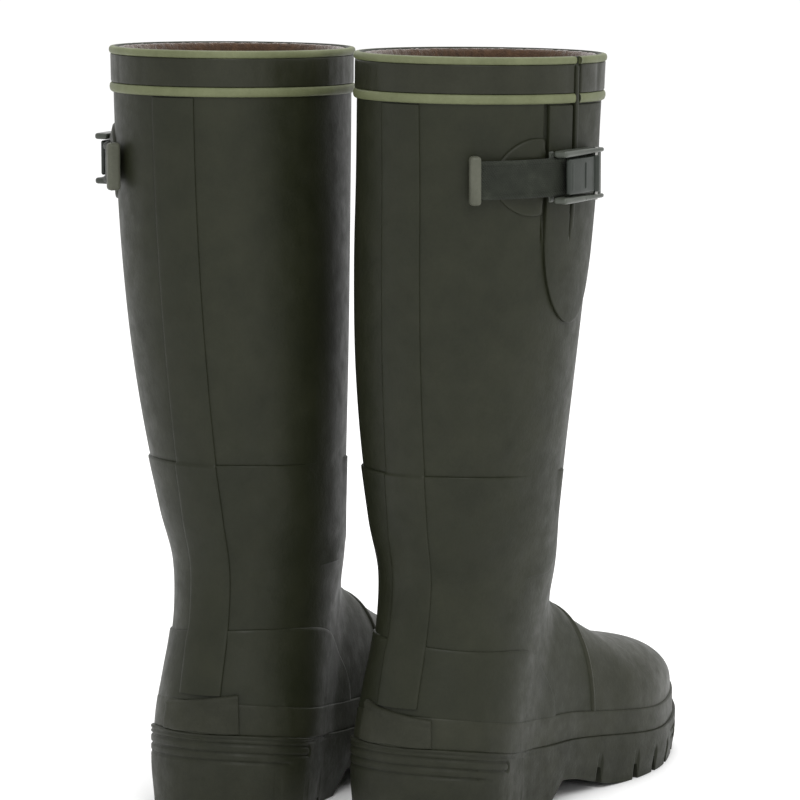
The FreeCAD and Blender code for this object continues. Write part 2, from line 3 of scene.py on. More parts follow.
import bpy
import mathutils
import numpy as np
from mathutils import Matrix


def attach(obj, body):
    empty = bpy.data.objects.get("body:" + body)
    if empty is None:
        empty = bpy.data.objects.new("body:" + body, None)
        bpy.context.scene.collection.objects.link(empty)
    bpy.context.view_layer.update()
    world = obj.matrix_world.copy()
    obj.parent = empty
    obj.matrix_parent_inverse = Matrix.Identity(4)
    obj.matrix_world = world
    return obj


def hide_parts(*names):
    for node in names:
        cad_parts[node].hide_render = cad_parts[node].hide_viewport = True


# Detailed looks for a pair of tall rubber hunting boots.  Shapes are worked out for the right boot in
# millimetres in the boot's own frame (X to the outer side, Y from heel to toe, Z up, heel at Y 0) and then
# placed in the shared frame in metres; the left boot is its mirror image.

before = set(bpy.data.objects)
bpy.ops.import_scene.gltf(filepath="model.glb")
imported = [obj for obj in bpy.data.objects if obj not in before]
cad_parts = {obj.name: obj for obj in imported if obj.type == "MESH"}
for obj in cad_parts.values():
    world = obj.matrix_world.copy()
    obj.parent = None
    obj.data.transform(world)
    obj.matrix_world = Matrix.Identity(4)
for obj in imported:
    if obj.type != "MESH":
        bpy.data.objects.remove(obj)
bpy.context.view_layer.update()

MM = 0.001
TOE_OUT = math.radians(3.1)
HALF_SPACING = 59.8
STAGGER = 11.6
TURN_CENTRE = 150.0
SETBACK = 141.561

# Shaft and heel: height, sideways shift, back edge, half depth, half width.
SHAFT_RINGS = np.array([
    (20.0, 1.9, -0.5, 47.5, 43.6), (51.0, 1.9, 0.5, 49.0, 43.6), (70.0, 2.0, 4.6, 51.5, 42.6),
    (105.0, 2.2, 13.4, 55.5, 41.2), (133.0, 2.8, 17.0, 57.5, 43.5), (165.0, 3.9, 12.2, 58.5, 47.8),
    (195.0, 5.3, 7.2, 60.0, 51.8), (240.0, 7.6, 1.6, 63.2, 56.4), (300.0, 10.7, -2.9, 68.1, 59.6),
    (350.0, 13.0, -4.6, 72.1, 60.6), (391.0, 14.0, -5.8, 74.6, 60.8), (421.0, 14.5, -6.4, 76.0, 60.8)])
# Foot: distance from the heel, sideways shift, half width, top height.
FOOT_RIBS = np.array([
    (38.0, 1.6, 36.0, 84.0), (75.0, 1.8, 37.5, 112.0), (105.0, 1.4, 37.5, 121.0),
    (135.0, 1.0, 38.0, 112.0), (160.0, 0.8, 40.8, 96.0), (190.0, 0.0, 44.8, 81.0),
    (215.0, -2.2, 45.0, 74.0), (238.0, -5.2, 41.0, 66.5), (258.0, -7.5, 34.5, 58.5),
    (273.0, -8.5, 26.0, 51.0), (283.0, -8.5, 17.0, 44.0), (288.0, -8.0, 8.0, 38.5)])
# Side view: distance from the heel, height.
SOLE_TOP = np.array([(-20.0, 50.5), (0.0, 49.5), (20.0, 46.5), (42.0, 42.5), (65.0, 39.0), (93.0, 35.5),
                     (125.0, 33.5), (148.0, 31.0), (181.0, 27.0), (210.0, 24.0), (240.0, 23.0), (270.0, 24.5),
                     (310.0, 31.0)])
FOXING_TOP = np.array([(-20.0, 67.0), (0.0, 66.0), (20.0, 63.0), (42.0, 59.0), (65.0, 55.3), (93.0, 51.5),
                       (125.0, 48.8), (148.0, 45.3), (181.0, 40.6), (210.0, 37.2), (240.0, 36.0),
                       (270.0, 37.3), (310.0, 43.5)])
RIM = 415.0
RIM_SLOPE = math.tan(math.radians(1.9))
RIM_DEPTH = 76.0
WIDEST = 40.0
CROWN_DEPTH = 14.0
FOOT_END = 289.5
TOE_CROWN = 4.5
HEEL_RADIUS = 42.0
FLANGE = 2.6
OVERLAY = 1.3
SHAFT_X = 13.0
SLIT_Y = 66.8
SLIT_SHIFT = -5.5
SLIT_BOTTOM = 320.0
STRAP_Z = 351.4
ARC_X = SHAFT_X - 19.4
ARC_Y = SLIT_Y - 0.9
ARC_IN = 84.4
ARC_OUT = 86.6
STRAP_TAIL = math.radians(-48.2)
STRAP_NOSE = math.radians(9.5)
LINING_FACE = -5.9
BAND_LOW = 395.9
BAND_HIGH = 411.2
BAND_WALL = 1.2
BAND_RADIUS = 66.0
STRIP_HALF = 12.0
STRIP_DRIFT = 3.5
STRIP_FOOT = 69.0
STRIP_WALL = 1.1
ANKLE_LOW = 133.0
ANKLE_HIGH = 194.0
ANKLE_ROWS = 58.0
ANKLE_CORNER = 15.0
ANKLE_REACH = math.radians(113.0)
ANKLE_RADIUS = 60.0
TONGUE_REAR = -23.5
TONGUE_FORE = 30.0
TONGUE_TIP = 272.0
TONGUE_SHOULDER = 318.0
TONGUE_TOP = 390.2
TONGUE_WALL = 1.6
TONGUE_GROOVE = 2.0
CAMERA_AHEAD = (TURN_CENTRE - SETBACK) * MM


# ---------------------------------------------------------------- shape helpers

def smooth_line(knots, values, where):
    """Smooth curve through the knots, with slopes taken from the neighbours."""
    slopes = np.gradient(values, knots)
    where = np.clip(where, knots[0], knots[-1])
    index = np.clip(np.searchsorted(knots, where) - 1, 0, len(knots) - 2)
    width = knots[index + 1] - knots[index]
    part = (where - knots[index]) / width
    a = values[index]
    b = values[index + 1]
    ma = slopes[index] * width
    mb = slopes[index + 1] * width
    return (a * (1 + 2 * part) * (1 - part) ** 2 + ma * part * (1 - part) ** 2
            + b * part ** 2 * (3 - 2 * part) + mb * part ** 2 * (part - 1))


def ring_at(z):
    """Shaft section at a height: sideways shift, back edge, half depth and half width."""
    return [smooth_line(SHAFT_RINGS[:, 0], SHAFT_RINGS[:, k], z) for k in (1, 2, 3, 4)]


def rib_at(y):
    """Foot section at a distance from the heel: sideways shift, half width and top height."""
    return [smooth_line(FOOT_RIBS[:, 0], FOOT_RIBS[:, k], y) for k in (1, 2, 3)]


def sole_top(y):
    """Height of the sole's upper edge at a distance from the heel."""
    return smooth_line(SOLE_TOP[:, 0], SOLE_TOP[:, 1], y)


def foxing_top(y):
    """Height of the foxing strip's upper edge at a distance from the heel."""
    return smooth_line(FOXING_TOP[:, 0], FOXING_TOP[:, 1], y)


def smooth_step(edge0, edge1, x):
    """Zero up to the first edge, one past the second, and a smooth rise between them."""
    t = np.clip((x - edge0) / (edge1 - edge0), 0.0, 1.0)
    return t * t * (3 - 2 * t)


def boot_field(p):
    """About the distance in mm from the boot's rubber surface, negative inside."""
    x, y, z = p[..., 0], p[..., 1], p[..., 2]
    shift, back, depth, width = ring_at(z)
    across = (x - shift) / width
    along = (y - back - depth) / depth
    rho = np.sqrt(across ** 2 + along ** 2) + 1e-9
    shaft = (rho - 1.0) * rho / np.sqrt((across / width) ** 2 + (along / depth) ** 2 + 1e-12)
    foot_shift, foot_width, foot_top = rib_at(y)
    foot_top = foot_top + TOE_CROWN * smooth_step(200.0, 262.0, y)
    waist = np.minimum(WIDEST, foot_top - CROWN_DEPTH)
    rise = foot_top - waist
    side = np.abs(x - foot_shift) / foot_width
    up = np.where(z > waist, (z - waist) / rise, 0.0)
    body = (side ** 2.5 + np.abs(up) ** 2.2 + 1e-9) ** (1 / 2.35)
    foot = (body - 1.0) * np.minimum(foot_width, rise)
    foot = foot + np.maximum(y - FOOT_END, 0.0) * 4.0 + np.maximum(30.0 - y, 0.0)
    round_off = 9.0 + 5.0 * smooth_step(70.0, 105.0, z) * smooth_step(85.0, 120.0, y)
    mix = np.clip(0.5 + 0.5 * (foot - shaft) / round_off, 0.0, 1.0)
    return foot + (shaft - foot) * mix - round_off * mix * (1 - mix)


def field_normal(p):
    """Value of the boot field, its direction and its steepness."""
    step = 0.2
    value = boot_field(p)
    moves = [np.array(d) * step for d in ((1, 0, 0), (0, 1, 0), (0, 0, 1))]
    slope = np.stack([boot_field(p + move) - value for move in moves], -1)
    size = np.linalg.norm(slope, axis=-1, keepdims=True) + 1e-9
    return value, slope / size, size[..., 0] / step


def on_boot(points, lift=0.0, rounds=14):
    """Moves guessed points onto the rubber surface, then out along its normal by the lift."""
    p = np.array(points, float)
    for _ in range(rounds):
        value, normal, size = field_normal(p)
        p = p - normal * np.clip(value / size, -4.0, 4.0)[..., None]
    _, normal, _ = field_normal(p)
    return p + normal * np.broadcast_to(lift, p.shape[:-1])[..., None]


def shaft_guess(angle, z):
    """Point of the shaft's horizontal section; angle 0 is the back and a quarter turn the outer side."""
    angle, z = np.broadcast_arrays(angle, z)
    shift, back, depth, width = ring_at(z)
    return np.stack([shift + width * np.sin(angle), back + depth - depth * np.cos(angle), z], -1)


def outer_angle(y, z):
    """Angle at which the shaft's outer side passes the distance y at the height z."""
    _, back, depth, _ = ring_at(z)
    return np.arccos(np.clip((back + depth - y) / depth, -1.0, 1.0))


def rim_level(angle, height):
    """Height of a line that runs parallel to the sloping rim."""
    return height - RIM_SLOPE * RIM_DEPTH * (1 - np.cos(angle)) * smooth_step(330.0, 388.0, height)


def outline(flange):
    """Plan outline of the foot, starting at the back of the heel and going round the outer side."""
    heel = SHAFT_RINGS[1]
    centre = heel[2] + HEEL_RADIUS
    right = []
    for degrees in np.linspace(0, 80, 9):
        turn = math.radians(degrees)
        right.append((heel[1] + (heel[4] + flange - 0.8) * math.sin(turn),
                      centre - (HEEL_RADIUS + flange) * math.cos(turn)))
    left = [(2 * heel[1] - x, y) for x, y in right[1:]]
    for distance, shift, half, _top in FOOT_RIBS:
        if distance > 70.0 and half + flange > 4.0:
            ahead = flange * min(max((distance - 200.0) / 80.0, 0.0), 1.0)
            right.append((shift + half + flange, distance + ahead))
            left.append((shift - half - flange, distance + ahead))
    tip = (FOOT_RIBS[-1][1], FOOT_RIBS[-1][0] + 1.5 + flange)
    return np.array(right + [tip] + left[::-1])


def closed_curve(points, samples):
    """Smooth closed curve through the points, evenly spaced by length (samples in 0..1)."""
    loop = np.vstack([points, points[:1]])
    wide = np.vstack([points[-3:], loop, points[1:4]])
    wide_knots = np.concatenate([[0], np.cumsum(np.hypot(*np.diff(wide, axis=0).T))])
    fine = np.linspace(wide_knots[3], wide_knots[3 + len(points)], 1500)
    x = smooth_line(wide_knots, wide[:, 0], fine)
    y = smooth_line(wide_knots, wide[:, 1], fine)
    length = np.concatenate([[0], np.cumsum(np.hypot(np.diff(x), np.diff(y)))])
    at = np.asarray(samples) * length[-1]
    return np.stack([np.interp(at, length, x), np.interp(at, length, y)], -1)


def curve_normal(curve):
    """Outward normals of a closed plan curve that runs anticlockwise."""
    along = np.roll(curve, -1, 0) - np.roll(curve, 1, 0)
    along = along / (np.linalg.norm(along, axis=1, keepdims=True) + 1e-9)
    return np.stack([along[:, 1], -along[:, 0]], -1)


# ---------------------------------------------------------------- placing and meshing

def to_frame(p, side):
    """Boot's own millimetres to the shared frame in metres; side is +1 for the right boot."""
    c, s = math.cos(-TOE_OUT), math.sin(-TOE_OUT)
    x = p[:, 0] * c - (p[:, 1] - TURN_CENTRE) * s + HALF_SPACING
    y = p[:, 0] * s + (p[:, 1] - TURN_CENTRE) * c + STAGGER + TURN_CENTRE - SETBACK
    if side < 0:
        x = -x
        y = y - 2 * STAGGER
    return np.stack([x, y, p[:, 2]], -1) * MM


def joined(parts):
    """One list of points and faces from several."""
    points = []
    faces = []
    start = 0
    for some_points, some_faces in parts:
        flat = np.asarray(some_points, float).reshape(-1, 3)
        points.append(flat)
        faces.extend(tuple(int(v) + start for v in face) for face in some_faces)
        start += len(flat)
    return np.vstack(points), faces


def build(name, side, parts, body, material, nodes=()):
    """Mesh object from local points and faces, placed, finished and tied to its body."""
    prefix = "right_" if side > 0 else "left_"
    points, faces = joined(parts)
    verts = to_frame(points, side)
    if side < 0:
        faces = [face[::-1] for face in faces]
    mesh = bpy.data.meshes.new(prefix + name)
    mesh.from_pydata(verts.tolist(), [], faces)
    mesh.validate()
    obj = bpy.data.objects.new(prefix + name, mesh)
    bpy.context.scene.collection.objects.link(obj)
    for polygon in mesh.polygons:
        polygon.use_smooth = True
    mesh.materials.append(material)
    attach(obj, prefix + body)
    if nodes:
        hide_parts(*[prefix + node for node in nodes])
    return obj


def grid_faces(rows, columns, wrap=False, keep=None):
    """Quads over a grid of points; wrap closes its columns and keep picks the quads."""
    faces = []
    for i in range(rows - 1):
        for j in range(columns if wrap else columns - 1):
            if keep is not None and not keep[i, j]:
                continue
            k = (j + 1) % columns
            faces.append((i * columns + j, i * columns + k, (i + 1) * columns + k, (i + 1) * columns + j))
    return faces


def lines(start, end, spacing, fine=()):
    """Grid lines from start to end with extra close lines at each (place, reach, spacing) in fine."""
    marks = list(np.linspace(start, end, max(int(round((end - start) / spacing)), 2) + 1))
    for place, reach, close in fine:
        low = max(start, place - reach)
        high = min(end, place + reach)
        marks = [m for m in marks if not low < m < high]
        marks.extend(np.linspace(low, high, max(int(round((high - low) / close)), 2) + 1))
    marks = np.array(sorted(set(np.round(marks, 6))))
    return marks[np.concatenate([[True], np.diff(marks) > 1e-4])]


def edge_lines(start, end, spacing, bevel):
    """Grid lines with rounded borders: returns places and how full the lift is at each."""
    spans = max(int(round((end - start - 2 * bevel) / spacing)), 1)
    inner = np.linspace(start + bevel, end - bevel, spans + 1)
    places = [start - 0.05 * bevel, start, start + 0.12 * bevel, start + 0.4 * bevel]
    fulls = [-0.5, 0.0, 0.62, 0.92]
    places = places + list(inner) + [end - 0.4 * bevel, end - 0.12 * bevel, end, end + 0.05 * bevel]
    fulls = fulls + [1.0] * len(inner) + [0.92, 0.62, 0.0, -0.5]
    return np.array(places), np.array(fulls)


def soft_box(centre, half, radius, spread=5):
    """Box with rounded edges as points and faces; the points can be bent afterwards."""
    half = np.asarray(half, float)
    radius = min(radius, half.min() * 0.98)
    steps = []
    for size in half:
        turn = np.linspace(0, math.pi / 2, 4)
        edge = radius * (1 - np.cos(turn))
        middle = np.linspace(-size + radius, size - radius, spread)[1:-1]
        steps.append(np.concatenate([-size + edge, middle, (size - edge)[::-1]]))
    points = []
    faces = []
    for axis in range(3):
        for sign in (-1.0, 1.0):
            first, second = [k for k in range(3) if k != axis]
            a, b = np.meshgrid(steps[first], steps[second], indexing="ij")
            p = np.zeros(a.shape + (3,))
            p[..., first] = a
            p[..., second] = b
            p[..., axis] = sign * half[axis]
            core = np.clip(p, -(half - radius), half - radius)
            out = p - core
            p = core + radius * out / (np.linalg.norm(out, axis=-1, keepdims=True) + 1e-12)
            start = sum(len(q) for q in points)
            side_faces = grid_faces(a.shape[0], a.shape[1])
            flip = (sign > 0) == (axis == 1)
            faces.extend(tuple(start + v for v in (face[::-1] if flip else face)) for face in side_faces)
            points.append(p.reshape(-1, 3))
    return weld(np.vstack(points) + np.asarray(centre, float), faces)


def weld(points, faces):
    """Merge points that lie at the same place."""
    _, first, inverse = np.unique(np.round(points, 4), axis=0, return_index=True, return_inverse=True)
    inverse = inverse.reshape(-1)
    merged = [tuple(int(inverse[v]) for v in face) for face in faces]
    return points[first], [face for face in merged if len(set(face)) == len(face)]


def round_arc(points):
    """Bends (along the arc, out from the strap's inner face, height) round the strap's centre."""
    turn = points[:, 0] / ARC_OUT
    reach = ARC_IN + points[:, 1]
    return np.stack([ARC_X + reach * np.cos(turn), ARC_Y + reach * np.sin(turn), points[:, 2]], -1)


# ---------------------------------------------------------------- materials

def new_material(name):
    """New material with its node tree, its shader and the object coordinates."""
    material = bpy.data.materials.new(name)
    material.use_nodes = True
    tree = material.node_tree
    tree.nodes.clear()
    output = tree.nodes.new("ShaderNodeOutputMaterial")
    shader = tree.nodes.new("ShaderNodeBsdfPrincipled")
    tree.links.new(shader.outputs[0], output.inputs[0])
    place = tree.nodes.new("ShaderNodeTexCoord")
    return material, tree, shader, place.outputs["Object"]


def noise(tree, place, size_mm, detail=3.0, roughness=0.55):
    """Noise whose largest spots are about the given size."""
    node = tree.nodes.new("ShaderNodeTexNoise")
    node.inputs["Scale"].default_value = 1.0 / (size_mm * MM)
    node.inputs["Detail"].default_value = detail
    node.inputs["Roughness"].default_value = roughness
    tree.links.new(place, node.inputs["Vector"])
    return node.outputs["Fac"]


def ramp(tree, value, stops):
    """Colours between (place, colour) stops."""
    node = tree.nodes.new("ShaderNodeValToRGB")
    elements = node.color_ramp.elements
    elements[0].position, elements[0].color = stops[0][0], (*stops[0][1], 1)
    elements[1].position, elements[1].color = stops[-1][0], (*stops[-1][1], 1)
    for position, colour in stops[1:-1]:
        element = elements.new(position)
        element.color = (*colour, 1)
    tree.links.new(value, node.inputs["Fac"])
    return node.outputs["Color"]


def math_node(tree, operation, a, b):
    """Math node on two sockets or numbers."""
    node = tree.nodes.new("ShaderNodeMath")
    node.operation = operation
    for socket, value in zip(node.inputs, (a, b)):
        if isinstance(value, (int, float)):
            socket.default_value = value
        else:
            tree.links.new(value, socket)
    return node.outputs[0]


def bump(tree, shader, layers):
    """Chain of bumps: (height value, depth in mm)."""
    normal = None
    for height, depth in layers:
        node = tree.nodes.new("ShaderNodeBump")
        node.inputs["Distance"].default_value = depth * MM
        node.inputs["Strength"].default_value = 1.0
        tree.links.new(height, node.inputs["Height"])
        if normal is not None:
            tree.links.new(normal, node.inputs["Normal"])
        normal = node.outputs[0]
    tree.links.new(normal, shader.inputs["Normal"])


def grey(value):
    """Grey of a given value."""
    return (value, value, value)


def rubber(name, dark, light, rough=(0.42, 0.58), peel=0.10, coat=0.0, gloss=0.22):
    """Dull moulded rubber: mottled colour, uneven gloss and fine orange peel."""
    material, tree, shader, place = new_material(name)
    mottle = noise(tree, place, 26.0, 6.0, 0.62)
    speck = noise(tree, place, 1.6, 3.0)
    broad = math_node(tree, "MULTIPLY", mottle, 0.75)
    fine = math_node(tree, "MULTIPLY", speck, 0.25)
    mixed = math_node(tree, "ADD", broad, fine)
    colour = ramp(tree, mixed, [(0.36, dark), (0.66, light)])
    tree.links.new(colour, shader.inputs["Base Color"])
    patches = noise(tree, place, 9.0, 5.0, 0.65)
    rough_value = ramp(tree, patches, [(0.3, grey(rough[0])), (0.7, grey(rough[1]))])
    tree.links.new(rough_value, shader.inputs["Roughness"])
    shader.inputs["Specular IOR Level"].default_value = gloss
    shader.inputs["Coat Weight"].default_value = coat
    shader.inputs["Coat Roughness"].default_value = 0.35
    bump(tree, shader, [(noise(tree, place, 30.0, 2.0), 0.9), (noise(tree, place, 2.2, 2.0), peel),
                        (noise(tree, place, 0.7, 2.0), peel * 0.35)])
    return material


def webbing():
    """Tight flat weave with slightly worn ribs."""
    material, tree, shader, place = new_material("strap_webbing")
    shade = noise(tree, place, 14.0, 5.0, 0.6)
    colour = ramp(tree, shade, [(0.33, (0.009, 0.011, 0.007)), (0.55, (0.015, 0.018, 0.012)),
                                (0.72, (0.028, 0.032, 0.023))])
    tree.links.new(colour, shader.inputs["Base Color"])
    shader.inputs["Roughness"].default_value = 0.72
    shader.inputs["Sheen Weight"].default_value = 0.06
    shader.inputs["Specular IOR Level"].default_value = 0.2
    heights = []
    for direction in ("Z", "DIAGONAL"):
        wave = tree.nodes.new("ShaderNodeTexWave")
        wave.bands_direction = direction
        wave.inputs["Scale"].default_value = 1.0 / (3.2 * MM)
        wave.inputs["Distortion"].default_value = 0.6
        tree.links.new(place, wave.inputs["Vector"])
        heights.append(wave.outputs["Fac"])
    bump(tree, shader, [(noise(tree, place, 8.0, 3.0), 0.35), (heights[0], 0.14), (heights[1], 0.12)])
    return material


def fleece(name, dark, light):
    """Short brushed pile."""
    material, tree, shader, place = new_material(name)
    shade = noise(tree, place, 3.5, 6.0, 0.75)
    tree.links.new(ramp(tree, shade, [(0.3, dark), (0.7, light)]), shader.inputs["Base Color"])
    shader.inputs["Roughness"].default_value = 0.95
    shader.inputs["Sheen Weight"].default_value = 0.8
    shader.inputs["Sheen Roughness"].default_value = 0.4
    bump(tree, shader, [(noise(tree, place, 5.0, 4.0), 0.9), (noise(tree, place, 0.9, 3.0), 0.5)])
    return material


def steel(name):
    """Drawn wire with fine lines and slight stains."""
    material, tree, shader, place = new_material(name)
    shade = noise(tree, place, 2.0, 5.0, 0.7)
    colour = ramp(tree, shade, [(0.3, (0.20, 0.20, 0.19)), (0.7, (0.42, 0.42, 0.40))])
    tree.links.new(colour, shader.inputs["Base Color"])
    shader.inputs["Metallic"].default_value = 1.0
    tree.links.new(ramp(tree, noise(tree, place, 0.8, 4.0), [(0.3, grey(0.25)), (0.7, grey(0.45))]),
                   shader.inputs["Roughness"])
    bump(tree, shader, [(noise(tree, place, 0.5, 2.0), 0.05)])
    return material


def make_materials():
    """Every finish by name; the colours are linear."""
    return {
        "shaft": rubber("shaft_rubber", (0.0102, 0.0118, 0.0050), (0.0165, 0.0182, 0.0088)),
        "overlay": rubber("overlay_rubber", (0.0099, 0.0116, 0.0048), (0.0157, 0.0173, 0.0084)),
        "vamp": rubber("vamp_rubber", (0.0124, 0.0139, 0.0062), (0.0217, 0.0226, 0.0121), (0.38, 0.55)),
        "band": rubber("band_rubber", (0.0125, 0.0136, 0.0067), (0.0197, 0.0209, 0.0119), (0.36, 0.50)),
        "piping": rubber("piping_rubber", (0.0962, 0.1066, 0.0520), (0.1352, 0.1482, 0.0780),
                         (0.45, 0.60), 0.05),
        "gusset": rubber("gusset_rubber", (0.0102, 0.0118, 0.0051), (0.0160, 0.0176, 0.0088),
                         (0.44, 0.60), 0.08),
        "patch": rubber("patch_rubber", (0.0102, 0.0118, 0.0050), (0.0171, 0.0187, 0.0091),
                        (0.40, 0.56), 0.06),
        "foxing": rubber("foxing_rubber", (0.0124, 0.0138, 0.0066), (0.0204, 0.0217, 0.0118),
                         (0.42, 0.60)),
        "kick": rubber("kick_rubber", (0.0140, 0.0151, 0.0083), (0.0242, 0.0253, 0.0157),
                       (0.50, 0.70), 0.18),
        "sole": rubber("sole_rubber", (0.0105, 0.0118, 0.0058), (0.0182, 0.0195, 0.0107),
                       (0.45, 0.65), 0.14),
        "stop": rubber("stop_plastic", (0.0550, 0.0578, 0.0413), (0.0880, 0.0908, 0.0688),
                       (0.40, 0.55), 0.04),
        "buckle": rubber("buckle_metal", (0.0143, 0.0187, 0.0143), (0.0253, 0.0303, 0.0248),
                         (0.30, 0.45), 0.03, 0.2),
        "rail": rubber("rail_metal", (0.0340, 0.0391, 0.0306), (0.0680, 0.0748, 0.0612),
                       (0.25, 0.42), 0.03, 0.3),
        "fold": rubber("fold_rubber", (0.0083, 0.0094, 0.0044), (0.0132, 0.0143, 0.0072),
                       (0.55, 0.70), 0.05),
        "midsole": rubber("midsole_foam", (0.0200, 0.0200, 0.0180), (0.0340, 0.0340, 0.0300),
                          (0.7, 0.85), 0.2),
        "stiffener": rubber("stiffener", (0.1000, 0.1000, 0.0900), (0.1700, 0.1700, 0.1600),
                            (0.6, 0.75), 0.1),
        "lining": fleece("lining_cloth", (0.030, 0.014, 0.005), (0.085, 0.042, 0.018)),
        "footbed": fleece("footbed_foam", (0.035, 0.022, 0.012), (0.080, 0.052, 0.030)),
        "board": fleece("board", (0.16, 0.11, 0.06), (0.27, 0.20, 0.12)),
        "strap": webbing(),
        "steel": steel("pin_steel"),
    }


# CAD nodes that keep their own shape, with the finish they get.
KEPT_NODES = {
    "gusset_fold": "fold", "toe_stiffener": "stiffener", "insole_board": "board", "footbed": "footbed",
    "midsole": "midsole", "shank": "steel", "buckle_pin": "steel", "buckle_tab": "patch",
}


def finish_kept_nodes(mats):
    """Gives the nodes that keep their own shape their finish."""
    for node, finish in KEPT_NODES.items():
        for prefix in ("left_", "right_"):
            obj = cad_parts[prefix + node]
            for slot in obj.material_slots:
                slot.material = mats[finish]


# ---------------------------------------------------------------- upper

def seam_place(z):
    """Distance of the seam between vamp and leg panel from the heel, at a height."""
    return 146.0 + (z - 10.0) * 0.03


def upper_grid():
    """Rubber surface of shaft and foot as rows from inside the rim down to the sole."""
    slit_angle = math.radians(85.0)
    rear_angle = math.radians(70.6)
    angles = lines(0.0, 2 * math.pi, math.radians(1.5),
                   [(slit_angle, math.radians(3.0), math.radians(0.25)),
                    (rear_angle, math.radians(3.0), math.radians(0.4))])[:-1]
    heights = lines(150.0, RIM - 0.6, 3.0, [(SLIT_BOTTOM, 4.0, 0.8)])[::-1]
    levels = rim_level(angles[None, :], heights[:, None])
    shaft = on_boot(shaft_guess(angles[None, :], levels), 0.0, 3)
    y = shaft[..., 1]
    outer = shaft[..., 0] > SHAFT_X
    slit_width = 0.5 + 0.5 * smooth_step(SLIT_BOTTOM, SLIT_BOTTOM + 30.0, levels)
    slit = np.clip(1.4 - np.abs(y - SLIT_Y - SLIT_SHIFT - 0.6) / slit_width, 0.0, 1.0)
    slit = slit * smooth_step(SLIT_BOTTOM - 2.0, SLIT_BOTTOM + 2.0, levels)
    behind = SLIT_Y + TONGUE_REAR - y
    past_groove = smooth_step(TONGUE_GROOVE - 1.0, TONGUE_GROOVE + 0.8, behind)
    groove = smooth_step(-0.6, 0.4, behind) * (1.0 - past_groove)
    groove = groove * smooth_step(TONGUE_SHOULDER - 6.0, TONGUE_SHOULDER + 14.0, levels)
    shaft = on_boot(shaft, np.where(outer, -2.3 * slit - 2.2 * groove, 0.0), 1)
    curve = closed_curve(outline(0.0), angles / (2 * math.pi))
    foot_edge = np.column_stack([curve, sole_top(curve[:, 1]) - 4.0])
    top_edge = shaft[-1]
    steps = np.linspace(0, 1, 110)[1:]
    lower = top_edge[None] + (foot_edge - top_edge)[None] * steps[:, None, None]
    lower = on_boot(lower, 0.0, 30)
    for _ in range(6):
        middle = lower.copy()
        around = 0.5 * (np.roll(middle, 1, 1) + np.roll(middle, -1, 1))
        middle[1:-1] = 0.25 * (middle[:-2] + middle[2:]) + 0.5 * around[1:-1]
        lower[:-1] = on_boot(middle[:-1], 0.0, 3)
    inner_heights = rim_level(angles[None, :], np.array([RIM, RIM, RIM - 1.0, RIM - 30.0])[:, None])
    inner_lifts = np.array([-0.5, -1.9, -2.4, -2.4])
    inner = on_boot(shaft_guess(angles[None, :], inner_heights), inner_lifts[:, None], 3)
    return np.concatenate([inner[::-1], shaft, lower])


def seam_ridge():
    """Thin raised line where vamp and leg panel meet, over the instep from sole to sole."""
    turns = np.linspace(math.radians(-8.0), math.radians(188.0), 120)
    offsets = np.array([-1.9, -1.4, -0.8, 0.0, 0.8, 1.4, 1.9])
    lifts = np.array([-0.4, 0.3, 0.95, 1.15, 0.9, 0.3, -0.4])
    across = 40.0 * np.cos(turns)
    up = 42.0 + 60.0 * np.sin(turns)
    centre = np.stack([across, seam_place(up), up], -1)
    centre = on_boot(centre, 0.0, 20)
    for _ in range(4):
        centre[:, 1] = seam_place(centre[:, 2])
        centre = on_boot(centre, 0.0, 4)
    points = centre[:, None, :] + np.array([0.0, 1.0, 0.0]) * offsets[None, :, None]
    points = on_boot(points, lifts[None, :], 4)
    return points, grid_faces(len(turns), len(offsets))


def make_upper(side, mats, plans):
    """Leg panel and vamp, parted along their seam."""
    grid = plans["upper"]
    rows, columns = grid.shape[:2]
    ahead = grid[..., 1] > seam_place(grid[..., 2])
    keep_leg = ~(ahead[:-1] & ahead[1:]) | (grid[:-1, :, 2] > 200.0)
    leg = (grid, grid_faces(rows, columns, True, keep_leg))
    front = (grid, grid_faces(rows, columns, True, ~keep_leg))
    build("leg_panel", side, [leg], "boot", mats["shaft"], ["leg_panel"])
    build("vamp", side, [front, plans["seam"]], "boot", mats["vamp"], ["vamp"])


def lining_parts(grid):
    """Fleece sleeve inside the rubber, with a rounded rolled top."""
    rng = np.random.default_rng(7)
    keep_rows = grid[4::3]
    top = keep_rows[0].copy()
    rows = []
    for drop, lift in ((2.0, -2.1), (0.6, -3.0), (0.0, -3.9), (0.4, -4.8), (1.6, -5.5), (3.6, LINING_FACE)):
        line = top.copy()
        line[:, 2] -= drop
        rows.append(on_boot(line, lift, 2))
    body = on_boot(keep_rows[2:], LINING_FACE, 2)
    points = np.concatenate([np.array(rows), body])
    points = points + rng.normal(0.0, 0.12, points.shape)
    count = points.shape[1]
    ends = grid_faces(points.shape[0], count, True)
    return points, [face[::-1] for face in ends]


# ---------------------------------------------------------------- layers on the shaft

def top_band():
    """Smooth band under the rim, slightly creased, open at the slit."""
    rng = np.random.default_rng(11)
    start = math.radians(89.2) * BAND_RADIUS
    end = math.radians(445.0) * BAND_RADIUS
    arcs, fulls = edge_lines(start, end, 1.6, 1.0)
    angles = arcs / BAND_RADIUS
    heights = edge_lines(BAND_LOW, BAND_HIGH, 1.6, 0.8)
    full = np.minimum(heights[1][:, None], fulls[None, :])
    crease = np.zeros(len(angles))
    for place in rng.uniform(math.radians(95), math.radians(448), 60):
        crease += rng.uniform(-0.30, 0.16) * np.exp(-((angles - place) / rng.uniform(0.012, 0.04)) ** 2)
    levels = rim_level(angles[None, :], heights[0][:, None])
    sway = crease[None, :] * np.clip(full, 0.0, 1.0)
    grid = on_boot(shaft_guess(angles[None, :], levels), BAND_WALL * full + sway, 4)
    return grid, grid_faces(len(heights[0]), len(angles))


